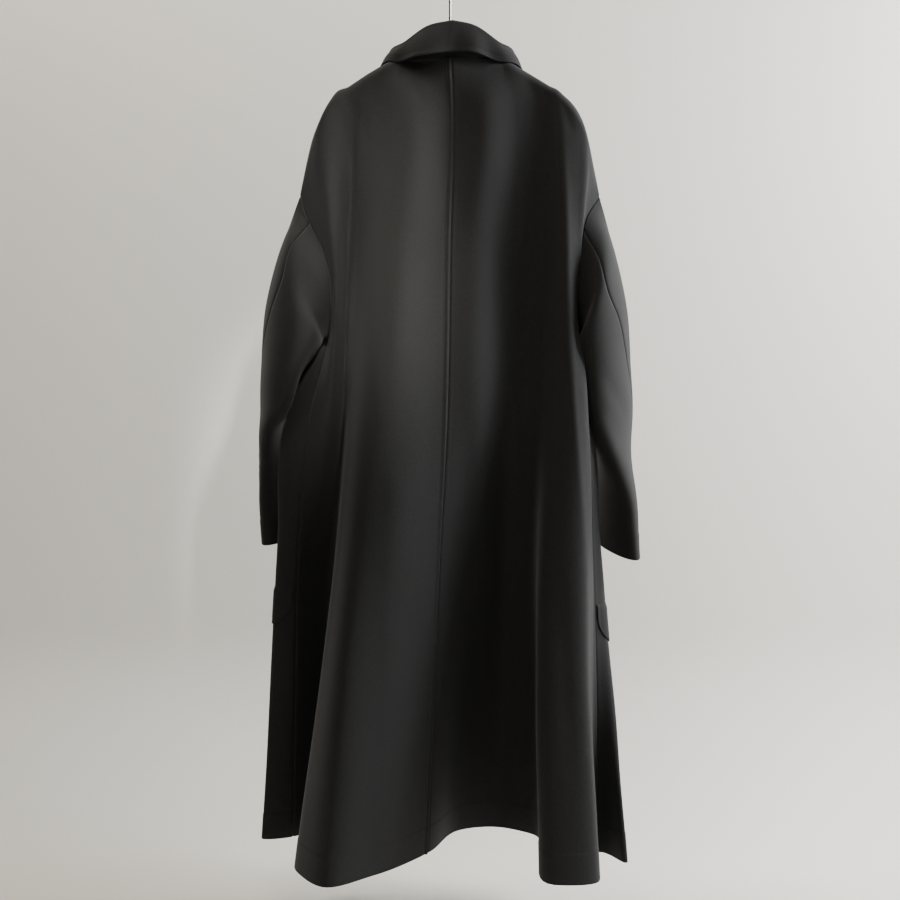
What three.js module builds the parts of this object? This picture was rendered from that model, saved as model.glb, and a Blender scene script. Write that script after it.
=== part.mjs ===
// A long chesterfield coat in heavy black wool, hanging from a shaped hanger by its wire hook.
// Millimetres. +Z is up, -Y is the front of the coat and +X is the wearer's left.
// The origin is the inner top of the hook. Heights in the tables are measured up from the hem.

import * as THREE from "three";

// Driving sizes
const CLOTH = 2.5;
const SEAM_GAP = 0.3;
const AT_SEAM = SEAM_GAP / 2 + 0.02;
const AT_ARMHOLE = 2 * SEAM_GAP;
const HOOK_HEIGHT = 1294;
const HANGER_THICKNESS = 10;
const HANGER_DEPTH = 30;
const HANGER_EDGE = 2.5;
const HANGER_CLEARANCE = 2.4;
const WIRE_RADIUS = 1.9;
const HOOK_RADIUS = 20;
const HOOK_FROM = -50;
const HOOK_TO = 205;
const HOOK_STEPS = 10;
const HANGER_CROWN = 1164;
const HANGER_FROM = 0.22;
const HANGER_END = 0.7;
const SHOULDER_ROUND = 16;
const NECK_BLEND = 60;
const ROLL_BLEND = 300;
const ROLL_DEPTH_BLEND = 110;
const COLLAR_ROLL = 4;
const FLAP_DEPTH = 58;
const FLAP_CORNER = 26;
const FLAP_GAP = 0.7;
const FLAP_ROWS = 4;
const LAPEL_GAP = 2.2;
const LAPEL_REACH = 12;
const LAPEL_INSET = 0.1;
const BUTTON_RADIUS = 14;
const BUTTON_THICKNESS = 5;
const BUTTON_GAP = 0.4;
const TINY = 1e-6;

// How finely the cloth is divided
const NECK_COLUMNS = 5;
const SHOULDER_COLUMNS = 14;
const PANEL_COLUMNS = NECK_COLUMNS + SHOULDER_COLUMNS;
const ARMHOLE_ROWS = 10;
const SKIRT_ROWS = 16;
const PANEL_ROWS = ARMHOLE_ROWS + SKIRT_ROWS;
const SLEEVE_ROWS = 14;

// Materials, one for each finish
const wool = { color: 0x1d1c1d, roughness: 0.92, metalness: 0 };
const horn = { color: 0x15120f, roughness: 0.35, metalness: 0 };
const wood = { color: 0x6b4a2f, roughness: 0.5, metalness: 0 };
const steel = { color: 0xb9babb, roughness: 0.25, metalness: 1 };

// The heights at which the folds of the body are placed. A fold may leave out the underarm.
const LEVELS = [
  { name: "yoke", height: 1082 },
  { name: "chest", height: 876 },
  { name: "underarm", height: 747 },
  { name: "waist", height: 620 },
  { name: "hip", height: 450 },
  { name: "knee", height: 244 },
  { name: "hem", height: 0 },
];

// Folds of the back, from the centre seam out to the side: [x, y] at each level.
// Each fold keeps its own column of the panel from the shoulder to the hem.
const BACK_LEFT_FOLDS = [
  { column: 0, yoke: [-5, 20], chest: [-1, 38], waist: [4, 64], hip: [13, 60], knee: [22, 46], hem: [33, 25] },
  { column: 4, yoke: [53, 30], chest: [71, 54], waist: [86, 98], hip: [88, 112], knee: [96, 112], hem: [105, 108] },
  { column: 6, yoke: [96, 20], chest: [105, 40], waist: [115, 92], hip: [130, 112], knee: [146, 134], hem: [166, 149] },
  { column: 9, yoke: [126, 15], chest: [131, 20], waist: [139, 60], hip: [155, 74], knee: [179, 86], hem: [211, 96] },
  { column: 13, yoke: [148, 12], chest: [150, 8], waist: [160, 4], hip: [178, -22], knee: [192, -48], hem: [207, -72] },
  { column: 15, yoke: [170, 18], chest: [162, 28], waist: [178, 20], hip: [205, -4], knee: [216, -28], hem: [222, -56] },
];
const BACK_RIGHT_FOLDS = [
  { column: 0, yoke: [-5, 20], chest: [-1, 38], waist: [4, 64], hip: [13, 60], knee: [22, 46], hem: [33, 25] },
  { column: 3, yoke: [-54, 30], chest: [-36, 37], waist: [-35, 54], hip: [-42, 12], knee: [-36, -40], hem: [-18, -72] },
  { column: 6, yoke: [-96, 17], chest: [-92, 14], waist: [-88, 18], hip: [-84, -22], knee: [-80, -62], hem: [-72, -84] },
  { column: 9, yoke: [-122, 13], chest: [-132, 18], waist: [-122, 24], hip: [-119, 2], knee: [-121, -38], hem: [-123, -55] },
  { column: 12, yoke: [-146, 16], chest: [-153, 34], waist: [-146, 52], hip: [-136, 74], knee: [-134, 104], hem: [-142, 141] },
  { column: 15, yoke: [-166, 22], chest: [-171, 40], waist: [-175, 60], hip: [-188, 80], knee: [-188, 104], hem: [-197, 134] },
];

// Folds of the fronts, from the side to the front edge: [x, y] at each level
const FRONT_LEFT_FOLDS = [
  { column: 2, yoke: [186, -16], chest: [175, -50], underarm: [171, -46], waist: [236, 4], hip: [250, 4],
    knee: [263, -14], hem: [280, -32] },
  { column: 5, yoke: [166, -18], chest: [158, -58], underarm: [162, -62], waist: [206, -46], hip: [216, -56],
    knee: [236, -72], hem: [248, -84] },
  { column: 8, yoke: [136, -20], chest: [124, -74], waist: [150, -98], hip: [172, -112], knee: [186, -120],
    hem: [202, -128] },
  { column: 11, yoke: [108, -22], chest: [94, -76], waist: [104, -88], hip: [110, -94], knee: [116, -98],
    hem: [122, -100] },
  { column: 14, yoke: [74, -38], chest: [66, -96], waist: [62, -106], hip: [60, -113], knee: [60, -118],
    hem: [62, -122] },
  { column: 19, yoke: [-46, -104], chest: [-46, -106], waist: [-46, -112], hip: [-46, -115], knee: [-44, -118],
    hem: [-42, -120] },
];
const FRONT_RIGHT_FOLDS = [
  { column: 2, yoke: [-186, -16], chest: [-176, -51], underarm: [-169, -47], waist: [-200, 8], hip: [-219, 4],
    knee: [-232, 20], hem: [-248, 62] },
  { column: 5, yoke: [-166, -18], chest: [-160, -60], underarm: [-164, -62], waist: [-186, -50], hip: [-202, -48],
    knee: [-214, -40], hem: [-226, -12] },
  { column: 8, yoke: [-136, -20], chest: [-126, -74], waist: [-146, -98], hip: [-166, -108], knee: [-182, -112],
    hem: [-196, -104] },
  { column: 11, yoke: [-108, -22], chest: [-94, -70], waist: [-100, -82], hip: [-106, -86], knee: [-112, -88],
    hem: [-118, -88] },
  { column: 14, yoke: [-74, -36], chest: [-66, -82], waist: [-60, -92], hip: [-58, -98], knee: [-58, -102],
    hem: [-58, -106] },
  { column: 19, yoke: [44, -90], chest: [44, -92], waist: [44, -99], hip: [44, -105], knee: [44, -109],
    hem: [42, -112] },
];

// Shoulder seam from the neck to the armhole, lying on the hanger and dropping past its end
const SHOULDER_LEFT = [
  { along: 0, x: 76, height: 1156 },
  { along: 0.35, x: 122, height: 1132 },
  { along: 0.53, x: 148, height: 1115 },
  { along: 0.71, x: 171, height: 1100 },
  { along: 0.8, x: 187, height: 1070 },
  { along: 0.9, x: 203, height: 1031 },
  { along: 1, x: 220, height: 954 },
];
const SHOULDER_RIGHT = [
  { along: 0, x: -76, height: 1156 },
  { along: 0.35, x: -120, height: 1131 },
  { along: 0.53, x: -144, height: 1116 },
  { along: 0.71, x: -164, height: 1103 },
  { along: 0.8, x: -185, height: 1080 },
  { along: 0.9, x: -201, height: 1040 },
  { along: 1, x: -219, height: 954 },
];
const TIP_HEIGHT = 954;
const UNDERARM_HEIGHT = 747;

// Armhole edges, and the side seam that runs on from the underarm to the hem
const ARMHOLE_BACK_LEFT = [
  { height: 954, x: 220, y: 0 },
  { height: 916, x: 205, y: 14 },
  { height: 869, x: 183, y: 28 },
  { height: 823, x: 173, y: 26 },
  { height: 780, x: 175, y: 10 },
  { height: 747, x: 180, y: -14 },
];
const ARMHOLE_FRONT_LEFT = [
  { height: 954, x: 220, y: 0 },
  { height: 916, x: 205, y: -20 },
  { height: 869, x: 189, y: -38 },
  { height: 800, x: 181, y: -42 },
  { height: 747, x: 180, y: -14 },
];
const SIDE_SEAM_LEFT = [
  { height: 747, x: 180, y: -14 },
  { height: 620, x: 206, y: 14 },
  { height: 450, x: 222, y: 8 },
  { height: 244, x: 230, y: -16 },
  { height: 0, x: 237, y: -42 },
];
const ARMHOLE_BACK_RIGHT = [
  { height: 954, x: -219, y: 0 },
  { height: 924, x: -200, y: 16 },
  { height: 880, x: -190, y: 24 },
  { height: 823, x: -185, y: 18 },
  { height: 780, x: -182, y: 4 },
  { height: 747, x: -183, y: -14 },
];
const ARMHOLE_FRONT_RIGHT = [
  { height: 954, x: -219, y: 0 },
  { height: 916, x: -204, y: -20 },
  { height: 869, x: -191, y: -38 },
  { height: 800, x: -184, y: -42 },
  { height: 747, x: -183, y: -14 },
];
const SIDE_SEAM_RIGHT = [
  { height: 747, x: -183, y: -14 },
  { height: 620, x: -192, y: 26 },
  { height: 450, x: -206, y: 24 },
  { height: 244, x: -212, y: 26 },
  { height: 0, x: -214, y: 22 },
];

// Neckline of the back and the roll line of each front, one point for each neck column
const BACK_NECK = [
  { x: -2, y: 24, height: 1150 },
  { x: 18, y: 23, height: 1150 },
  { x: 38, y: 20, height: 1151 },
  { x: 54, y: 15, height: 1152 },
  { x: 67, y: 8, height: 1154 },
  { x: 76, y: 0, height: 1156 },
];
const ROLL_LINE = [
  { x: 76, y: 0, height: 1156 },
  { x: 75, y: -34, height: 1118 },
  { x: 62, y: -64, height: 1062 },
  { x: 34, y: -88, height: 1000 },
  { x: -4, y: -101, height: 940 },
  { x: -46, y: -106, height: 880 },
];
const RIGHT_FRONT_BEHIND = 20;

// Sleeve sections below the armhole. half: outwards and backwards, turn: back edge outwards in
// degrees, slant: outer side higher, lean: back lower, twist: how far the seams have wound round.
const SLEEVE_LEFT = [
  { height: 818, x: 218, y: -6, outHalf: 26, backHalf: 58, turn: -6, slant: 66, lean: 0, twist: 10 },
  { height: 762, x: 233, y: -12, outHalf: 36, backHalf: 78, turn: -12, slant: 34, lean: 0, twist: 26 },
  { height: 700, x: 251, y: -26, outHalf: 29, backHalf: 86, turn: -9, slant: 6, lean: 0, twist: 36 },
  { height: 650, x: 262, y: -46, outHalf: 23, backHalf: 84, turn: 0, slant: 2, lean: 2, twist: 40 },
  { height: 606, x: 268, y: -64, outHalf: 17, backHalf: 80, turn: 4, slant: 0, lean: 4, twist: 42 },
  { height: 524, x: 260, y: -80, outHalf: 18, backHalf: 77, turn: 12, slant: 0, lean: 8, twist: 42 },
  { height: 450, x: 254, y: -84, outHalf: 18, backHalf: 74, turn: 15, slant: 0, lean: 8, twist: 42 },
];
const SLEEVE_RIGHT = [
  { height: 818, x: -217, y: -8, outHalf: 21, backHalf: 56, turn: -8, slant: 66, lean: 0, twist: 8 },
  { height: 762, x: -227, y: -18, outHalf: 31, backHalf: 76, turn: -16, slant: 34, lean: 0, twist: 20 },
  { height: 700, x: -239, y: -34, outHalf: 29, backHalf: 82, turn: -20, slant: 8, lean: 0, twist: 28 },
  { height: 650, x: -246, y: -44, outHalf: 28, backHalf: 82, turn: -18, slant: 4, lean: 2, twist: 32 },
  { height: 606, x: -252, y: -50, outHalf: 26, backHalf: 81, turn: -12, slant: 2, lean: 4, twist: 34 },
  { height: 524, x: -253, y: -58, outHalf: 23, backHalf: 78, turn: 5, slant: 0, lean: 10, twist: 34 },
  { height: 436, x: -252, y: -62, outHalf: 20, backHalf: 75, turn: 15, slant: 0, lean: 14, twist: 34 },
];
const BACK_SEAM_COLUMN = 4;
const FRONT_SEAM_COLUMN = 12;

// Collar from the centre back to its point, on the left: neck seam, fold and outer edge [x, y, height]
const COLLAR = [
  { neck: [-1, 24, 1150], fold: [-1, 33, 1200], edge: [-1, 47, 1148] },
  { neck: [30, 22, 1150.5], fold: [34, 30, 1193], edge: [42, 42, 1148] },
  { neck: [55, 13, 1152.5], fold: [66, 19, 1175], edge: [78, 29, 1154] },
  { neck: [73, 0, 1158], fold: [87, -1, 1170], edge: [104, 0, 1152] },
  { neck: [73, -20, 1143], fold: [88, -26, 1152], edge: [114, -32, 1130] },
  { neck: [70, -46, 1111], fold: [82, -54, 1119], edge: [122, -38, 1095] },
];
const COLLAR_COLUMNS = 24;
const COLLAR_LEAN = -2.5;
const COLLAR_SEAT = 1.7;

// Free edge of the lapel, from its notch to the break of the roll line
const LAPEL_EDGE = [
  { along: 0, x: 120, height: 1080 },
  { along: 0.12, x: 134, height: 1062 },
  { along: 0.4, x: 104, height: 998 },
  { along: 0.75, x: 38, height: 926 },
  { along: 1, x: -38, height: 872 },
];
const LAPEL_START_COLUMN = 15.4;
const LAPEL_COLUMNS = 14;
const LAPEL_ROWS = 6;

// Buttons down the closed front and pocket flaps at the hips
const BUTTONS = [
  { name: "button_upper", height: 850 },
  { name: "button_middle", height: 710 },
  { name: "button_lower", height: 570 },
];
const BUTTON_LINE = -4;
const FLAPS = [
  { name: "pocket_flap_left", side: 1, top: 382, from: 0.35, to: 8.4 },
  { name: "pocket_flap_right", side: -1, top: 358, from: 0.35, to: 8.4 },
];

const coat = new THREE.Group();

function add(name, geometry, finish) {
  const mesh = new THREE.Mesh(geometry, new THREE.MeshStandardMaterial(finish));
  mesh.name = name;
  coat.add(mesh);
  return mesh;
}

function atHeight(x, y, height) {
  return new THREE.Vector3(x, y, height - HOOK_HEIGHT);
}

// A smooth curve through points that stand at given places along it, kept straight past its ends.
function smoothThrough(places, points, place) {
  const last = places.length - 1;
  const rising = places[last] > places[0];
  const clamped = rising ? THREE.MathUtils.clamp(place, places[0], places[last])
    : THREE.MathUtils.clamp(place, places[last], places[0]);
  let i = 0;
  while (i < last - 1 && (rising ? clamped > places[i + 1] : clamped < places[i + 1])) i += 1;
  const slope = (k) => {
    if (k === 0) return points[1].clone().sub(points[0]).divideScalar(places[1] - places[0]);
    if (k === last) return points[k].clone().sub(points[k - 1]).divideScalar(places[k] - places[k - 1]);
    const before = points[k].clone().sub(points[k - 1]).divideScalar(places[k] - places[k - 1]);
    const after = points[k + 1].clone().sub(points[k]).divideScalar(places[k + 1] - places[k]);
    const share = (places[k] - places[k - 1]) / (places[k + 1] - places[k - 1]);
    return before.multiplyScalar(1 - share).add(after.multiplyScalar(share));
  };
  const span = places[i + 1] - places[i];
  return hermite(points[i], points[i + 1], slope(i).multiplyScalar(span), slope(i + 1).multiplyScalar(span),
    (clamped - places[i]) / span);
}

function hermite(start, end, startPull, endPull, r) {
  const r2 = r * r;
  const r3 = r2 * r;
  return start.clone().multiplyScalar(2 * r3 - 3 * r2 + 1)
    .addScaledVector(startPull, r3 - 2 * r2 + r)
    .addScaledVector(end, 3 * r2 - 2 * r3)
    .addScaledVector(endPull, r3 - r2);
}

// Rows of the cloth as a share of the way from its top edge to the hem. They are close together
// at the shoulder, and one of them runs level through the underarm.
const underarmShare = 1 - UNDERARM_HEIGHT / TIP_HEIGHT;

function heightOf(topHeight, share) {
  if (share <= underarmShare) return THREE.MathUtils.lerp(topHeight, UNDERARM_HEIGHT, share / underarmShare);
  return UNDERARM_HEIGHT * (1 - share) / (1 - underarmShare);
}

function rowShare(row) {
  if (row <= ARMHOLE_ROWS) return underarmShare * (row / ARMHOLE_ROWS) ** 2;
  return underarmShare + (1 - underarmShare) * (row - ARMHOLE_ROWS) / SKIRT_ROWS;
}

// One fold line of a panel, from its own point of the top edge to the hem
function foldLine(fold, top, rounded) {
  const places = [];
  const points = [];
  for (const level of LEVELS.filter(({ name }) => name in fold)) {
    places.push(level.height);
    points.push(new THREE.Vector3(fold[level.name][0], fold[level.name][1], 0));
  }
  if (top.height > LEVELS[0].height + 20) {
    places.unshift(top.height);
    points.unshift(new THREE.Vector3(top.x, rounded ? points[0].y : top.y, 0));
  }
  return {
    column: fold.column,
    at(share) {
      const height = heightOf(top.height, share);
      const place = smoothThrough(places, points, height);
      const drop = Math.min((top.height - height) / SHOULDER_ROUND, 1);
      const round = rounded ? Math.sqrt(1 - (1 - drop) ** 2) : 1;
      return atHeight(place.x, place.y * round, height);
    },
  };
}

// The outer line of a panel: the armhole edge, then the side seam
function sideLine(column, armhole, seam) {
  const curve = (rows) => ({
    places: rows.map((row) => row.height),
    points: rows.map((row) => new THREE.Vector3(row.x, row.y, 0)),
  });
  const upper = curve(armhole);
  const lower = curve(seam);
  return {
    column,
    at(share) {
      const height = heightOf(TIP_HEIGHT, share);
      const part = height >= UNDERARM_HEIGHT ? upper : lower;
      const place = smoothThrough(part.places, part.points, height);
      return atHeight(place.x, place.y, height);
    },
  };
}

function shoulderPoint(table, along) {
  const place = smoothThrough(table.map((row) => row.along),
    table.map((row) => new THREE.Vector3(row.x, 0, row.height)), along);
  return { x: place.x, y: 0, height: place.z };
}

function neckPoint(table, place, mirror) {
  const spot = smoothThrough(table.map((_, i) => i),
    table.map((row) => new THREE.Vector3(row.x, row.y, row.height)), place);
  return { x: spot.x * mirror, y: spot.y, height: spot.z };
}

// A panel is a sheet of columns and rows. Its top edge is a neckline and the shoulder seam.
function makePanel({ folds, shoulder, armhole, seam, back, mirror, behind }) {
  const top = (column) => {
    if (back) {
      if (column >= NECK_COLUMNS) return shoulderPoint(shoulder, (column - NECK_COLUMNS) / SHOULDER_COLUMNS);
      const spot = neckPoint(BACK_NECK, column, mirror);
      if (column < 1) spot.x = THREE.MathUtils.lerp(BACK_NECK[0].x, spot.x, column);
      return spot;
    }
    if (column <= SHOULDER_COLUMNS) return shoulderPoint(shoulder, 1 - column / SHOULDER_COLUMNS);
    const spot = neckPoint(ROLL_LINE, column - SHOULDER_COLUMNS, mirror);
    spot.y += behind * (column - SHOULDER_COLUMNS) / NECK_COLUMNS;
    return spot;
  };
  const onShoulder = (column) => (back ? column > NECK_COLUMNS : column < SHOULDER_COLUMNS);
  const lines = folds.map((fold) => foldLine(fold, top(fold.column), onShoulder(fold.column)));
  const side = sideLine(back ? PANEL_COLUMNS : 0, armhole, seam);
  if (back) lines.push(side);
  else lines.unshift(side);
  return { lines, top, back, mirror };
}

const shapes = {
  backLeft: makePanel({ folds: BACK_LEFT_FOLDS, shoulder: SHOULDER_LEFT, armhole: ARMHOLE_BACK_LEFT,
    seam: SIDE_SEAM_LEFT, back: true, mirror: 1, behind: 0 }),
  backRight: makePanel({ folds: BACK_RIGHT_FOLDS, shoulder: SHOULDER_RIGHT, armhole: ARMHOLE_BACK_RIGHT,
    seam: SIDE_SEAM_RIGHT, back: true, mirror: -1, behind: 0 }),
  frontLeft: makePanel({ folds: FRONT_LEFT_FOLDS, shoulder: SHOULDER_LEFT, armhole: ARMHOLE_FRONT_LEFT,
    seam: SIDE_SEAM_LEFT, back: false, mirror: 1, behind: 0 }),
  frontRight: makePanel({ folds: FRONT_RIGHT_FOLDS, shoulder: SHOULDER_RIGHT, armhole: ARMHOLE_FRONT_RIGHT,
    seam: SIDE_SEAM_RIGHT, back: false, mirror: -1, behind: RIGHT_FRONT_BEHIND }),
};

// The lines next to a panel, across its centre seam and its side seam, keep the cloth smooth there.
for (const [backShape, frontShape, otherBack] of [
  [shapes.backLeft, shapes.frontLeft, shapes.backRight],
  [shapes.backRight, shapes.frontRight, shapes.backLeft],
]) {
  backShape.before = otherBack.lines[1];
  backShape.after = frontShape.lines[1];
  frontShape.before = backShape.lines[backShape.lines.length - 2];
}

function unitStep(from, to) {
  return to.clone().sub(from).divideScalar(Math.max(from.distanceTo(to), 1e-6));
}

function seamShare(share) {
  return THREE.MathUtils.smoothstep(share, underarmShare, underarmShare + 0.16);
}

// The direction of the cloth across one fold line, from the lines on both sides of it
function acrossAt(points, i, before, after, sideShare) {
  const here = points[i];
  const previous = i > 0 ? points[i - 1] : before;
  const next = i < points.length - 1 ? points[i + 1] : after;
  if (!previous) return unitStep(here, next);
  if (!next) return unitStep(previous, here);
  const toHere = here.distanceTo(previous);
  const toNext = here.distanceTo(next);
  const both = unitStep(previous, here).multiplyScalar(toNext).addScaledVector(unitStep(here, next), toHere)
    .divideScalar(toHere + toNext);
  if (i > 0 && i < points.length - 1) return both;
  const own = i === 0 ? unitStep(here, next) : unitStep(previous, here);
  return own.lerp(both, sideShare).normalize();
}

function spread(shape, column, share) {
  const points = shape.lines.map((line) => line.at(share));
  const last = shape.lines.length - 1;
  let i = 0;
  while (i < last - 1 && column > shape.lines[i + 1].column) i += 1;
  const r = (column - shape.lines[i].column) / (shape.lines[i + 1].column - shape.lines[i].column);
  const before = shape.before ? shape.before.at(share) : null;
  const after = shape.after ? shape.after.at(share) : null;
  const weightStart = shape.back ? 1 : seamShare(share);
  const weightEnd = seamShare(share);
  const chord = points[i].distanceTo(points[i + 1]);
  const startPull = acrossAt(points, i, before, after, weightStart).multiplyScalar(chord);
  const endPull = acrossAt(points, i + 1, before, after, weightEnd).multiplyScalar(chord);
  return hermite(points[i], points[i + 1], startPull, endPull, r);
}

function panelPoint(shape, column, share) {
  const spot = spread(shape, column, share);
  const top = shape.top(column);
  const drop = top.height - heightOf(top.height, share);
  const pastNeck = shape.back ? 0 : THREE.MathUtils.smoothstep(column, SHOULDER_COLUMNS, SHOULDER_COLUMNS + 2);
  const fade = (blend) => Math.max(0, 1 - drop / THREE.MathUtils.lerp(NECK_BLEND, blend, pastNeck)) ** 2;
  const wide = fade(ROLL_BLEND);
  if (wide > 0) {
    const offset = atHeight(top.x, top.y, top.height).sub(spread(shape, column, 0));
    spot.add(offset.multiply(new THREE.Vector3(wide, fade(ROLL_DEPTH_BLEND), wide)));
  }
  return spot;
}

function panelNormal(shape, column, share) {
  const step = 0.04;
  const rowStep = 0.0006;
  const c0 = Math.max(column - step, 0);
  const c1 = Math.min(column + step, PANEL_COLUMNS);
  const s0 = Math.max(share - rowStep, 0);
  const s1 = Math.min(share + rowStep, 1);
  const across = panelPoint(shape, c1, share).sub(panelPoint(shape, c0, share));
  const down = panelPoint(shape, column, s1).sub(panelPoint(shape, column, s0));
  return across.cross(down).multiplyScalar(shape.mirror).normalize();
}

// A closed wall of cloth: an outer and an inner skin on either side of a sheet, joined at the rim.
// The sheet is rows of {at, normal}. Its rim is drawn in by a given amount on the sides that are seams.
function clothWall(sheet, { drawIn = {}, thickness = CLOTH, flip = false } = {}) {
  const rows = sheet.length;
  const columns = sheet[0].length;
  const moved = sheet.map((line) => line.map((spot) => spot.at.clone()));
  const draw = (amount, row, column, toRow, toColumn) => {
    const step = sheet[toRow][toColumn].at.clone().sub(sheet[row][column].at).setLength(amount);
    moved[row][column].add(step);
  };
  for (let row = 0; row < rows; row += 1) {
    if (drawIn.start) draw(drawIn.start, row, 0, row, 1);
    if (drawIn.end) draw(drawIn.end, row, columns - 1, row, columns - 2);
  }
  for (let column = 0; column < columns; column += 1) {
    if (drawIn.top) draw(drawIn.top, 0, column, 1, column);
  }
  const positions = [];
  for (const side of [0.5, -0.5]) {
    for (let row = 0; row < rows; row += 1) {
      for (let column = 0; column < columns; column += 1) {
        const skin = moved[row][column].clone().addScaledVector(sheet[row][column].normal, side * thickness);
        positions.push(skin.x, skin.y, skin.z);
      }
    }
  }
  const size = rows * columns;
  const index = [];
  const quad = (a, b, c, d) => {
    if (flip) index.push(a, b, c, b, d, c);
    else index.push(a, c, b, b, c, d);
  };
  const at = (row, column) => row * columns + column;
  for (let row = 0; row < rows - 1; row += 1) {
    for (let column = 0; column < columns - 1; column += 1) {
      quad(at(row, column), at(row + 1, column), at(row, column + 1), at(row + 1, column + 1));
      quad(size + at(row, column), size + at(row, column + 1), size + at(row + 1, column),
        size + at(row + 1, column + 1));
    }
  }
  for (let row = 0; row < rows - 1; row += 1) {
    quad(at(row, 0), size + at(row, 0), at(row + 1, 0), size + at(row + 1, 0));
    const end = columns - 1;
    quad(at(row, end), at(row + 1, end), size + at(row, end), size + at(row + 1, end));
  }
  for (let column = 0; column < columns - 1; column += 1) {
    quad(at(0, column), at(0, column + 1), size + at(0, column), size + at(0, column + 1));
    const end = rows - 1;
    quad(at(end, column), size + at(end, column), at(end, column + 1), size + at(end, column + 1));
  }
  const geometry = new THREE.BufferGeometry();
  geometry.setAttribute("position", new THREE.Float32BufferAttribute(positions, 3));
  geometry.setIndex(index);
  return geometry;
}

function panelSheet(shape) {
  const sheet = [];
  for (let row = 0; row <= PANEL_ROWS; row += 1) {
    const share = rowShare(row);
    const line = [];
    for (let column = 0; column <= PANEL_COLUMNS; column += 1) {
      line.push({ at: panelPoint(shape, column, share), normal: panelNormal(shape, column, share) });
    }
    sheet.push(line);
  }
  return sheet;
}

const sheets = Object.fromEntries(Object.entries(shapes).map(([name, shape]) => [name, panelSheet(shape)]));

// Sleeves: a tube of sections from the armhole to the cuff, cut in a top and an under sleeve
function armholeRing(backSheet, frontSheet) {
  const ring = [];
  for (let row = 0; row <= ARMHOLE_ROWS; row += 1) ring.push(backSheet[row][PANEL_COLUMNS]);
  for (let row = ARMHOLE_ROWS - 1; row > 0; row -= 1) ring.push(frontSheet[row][0]);
  return ring;
}

function sectionPoint(row, angle, mirror) {
  const a = angle - THREE.MathUtils.degToRad(row.twist);
  const turn = THREE.MathUtils.degToRad(row.turn);
  const out = row.outHalf * Math.cos(a);
  const back = row.backHalf * Math.sin(a);
  const x = row.x + mirror * (out * Math.cos(turn) + back * Math.sin(turn));
  const y = row.y + back * Math.cos(turn) - out * Math.sin(turn);
  return atHeight(x, y, row.height + row.slant * Math.cos(a) - row.lean * Math.sin(a));
}

function makeSleeve(ring, table, mirror) {
  const count = ring.length;
  const reach = [0];
  for (let j = 1; j <= count; j += 1) {
    reach.push(reach[j - 1] + ring[j % count].at.distanceTo(ring[j - 1].at));
  }
  const angles = reach.map((length) => 2 * Math.PI * length / reach[count]);
  const places = [0, ...table.map((_, i) => i + 1)];
  const pointAt = (column, place) => {
    const j = ((column % count) + count) % count;
    const points = [ring[j].at, ...table.map((row) => sectionPoint(row, angles[j], mirror))];
    return smoothThrough(places, points, place);
  };
  const sheet = [];
  for (let row = 0; row <= SLEEVE_ROWS; row += 1) {
    const place = table.length * row / SLEEVE_ROWS;
    const line = [];
    for (let column = 0; column < count; column += 1) line.push({ at: pointAt(column, place) });
    sheet.push(line);
  }
  for (let row = 0; row <= SLEEVE_ROWS; row += 1) {
    for (let column = 0; column < count; column += 1) {
      const across = sheet[row][(column + 1) % count].at.clone()
        .sub(sheet[row][(column + count - 1) % count].at);
      const down = sheet[Math.min(row + 1, SLEEVE_ROWS)][column].at.clone()
        .sub(sheet[Math.max(row - 1, 0)][column].at);
      sheet[row][column].normal = across.cross(down).multiplyScalar(-mirror).normalize();
    }
  }
  return sheet;
}

// Body and sleeve meet with their edges cut to one mitre, halfway between the two cloths.
function mitreArmhole(backSheet, frontSheet, sleeve) {
  const count = sleeve[0].length;
  let previous = null;
  for (let j = 0; j < count; j += 1) {
    const row = j <= ARMHOLE_ROWS ? j : count - j;
    const panel = j <= ARMHOLE_ROWS ? backSheet[row] : [...frontSheet[row]].reverse();
    const edge = panel[PANEL_COLUMNS];
    const along = sleeve[0][(j + 1) % count].at.clone().sub(sleeve[0][(j + count - 1) % count].at).normalize();
    const square = (to) => {
      const step = to.clone().sub(edge.at);
      return step.addScaledVector(along, -step.dot(along)).normalize();
    };
    const shared = along.cross(square(panel[PANEL_COLUMNS - 1].at).sub(square(sleeve[1][j].at))).normalize();
    if (shared.dot(previous ?? edge.normal) < 0) shared.negate();
    previous = shared;
    edge.normal = shared;
    sleeve[0][j].normal = shared;
  }
  for (const row of [0, ARMHOLE_ROWS]) {
    frontSheet[row][0].normal = backSheet[row][PANEL_COLUMNS].normal;
  }
}

function shareNormal(one, other) {
  const shared = one.normal.clone().add(other.normal).normalize();
  one.normal = shared;
  other.normal = shared;
}

function mitreSeams() {
  sheets.backLeft.forEach((line, row) => shareNormal(line[0], sheets.backRight[row][0]));
  for (const [backSheet, frontSheet] of [[sheets.backLeft, sheets.frontLeft],
    [sheets.backRight, sheets.frontRight]]) {
    for (let row = ARMHOLE_ROWS + 1; row <= PANEL_ROWS; row += 1) {
      shareNormal(backSheet[row][PANEL_COLUMNS], frontSheet[row][0]);
    }
    for (let column = 0; column <= SHOULDER_COLUMNS; column += 1) {
      shareNormal(backSheet[0][PANEL_COLUMNS - column], frontSheet[0][column]);
    }
  }
}

function sleeveStrip(sheet, from, to) {
  const count = sheet[0].length;
  return sheet.map((line) => {
    const strip = [];
    for (let column = from; column <= to; column += 1) strip.push(line[((column % count) + count) % count]);
    return strip;
  });
}

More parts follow.
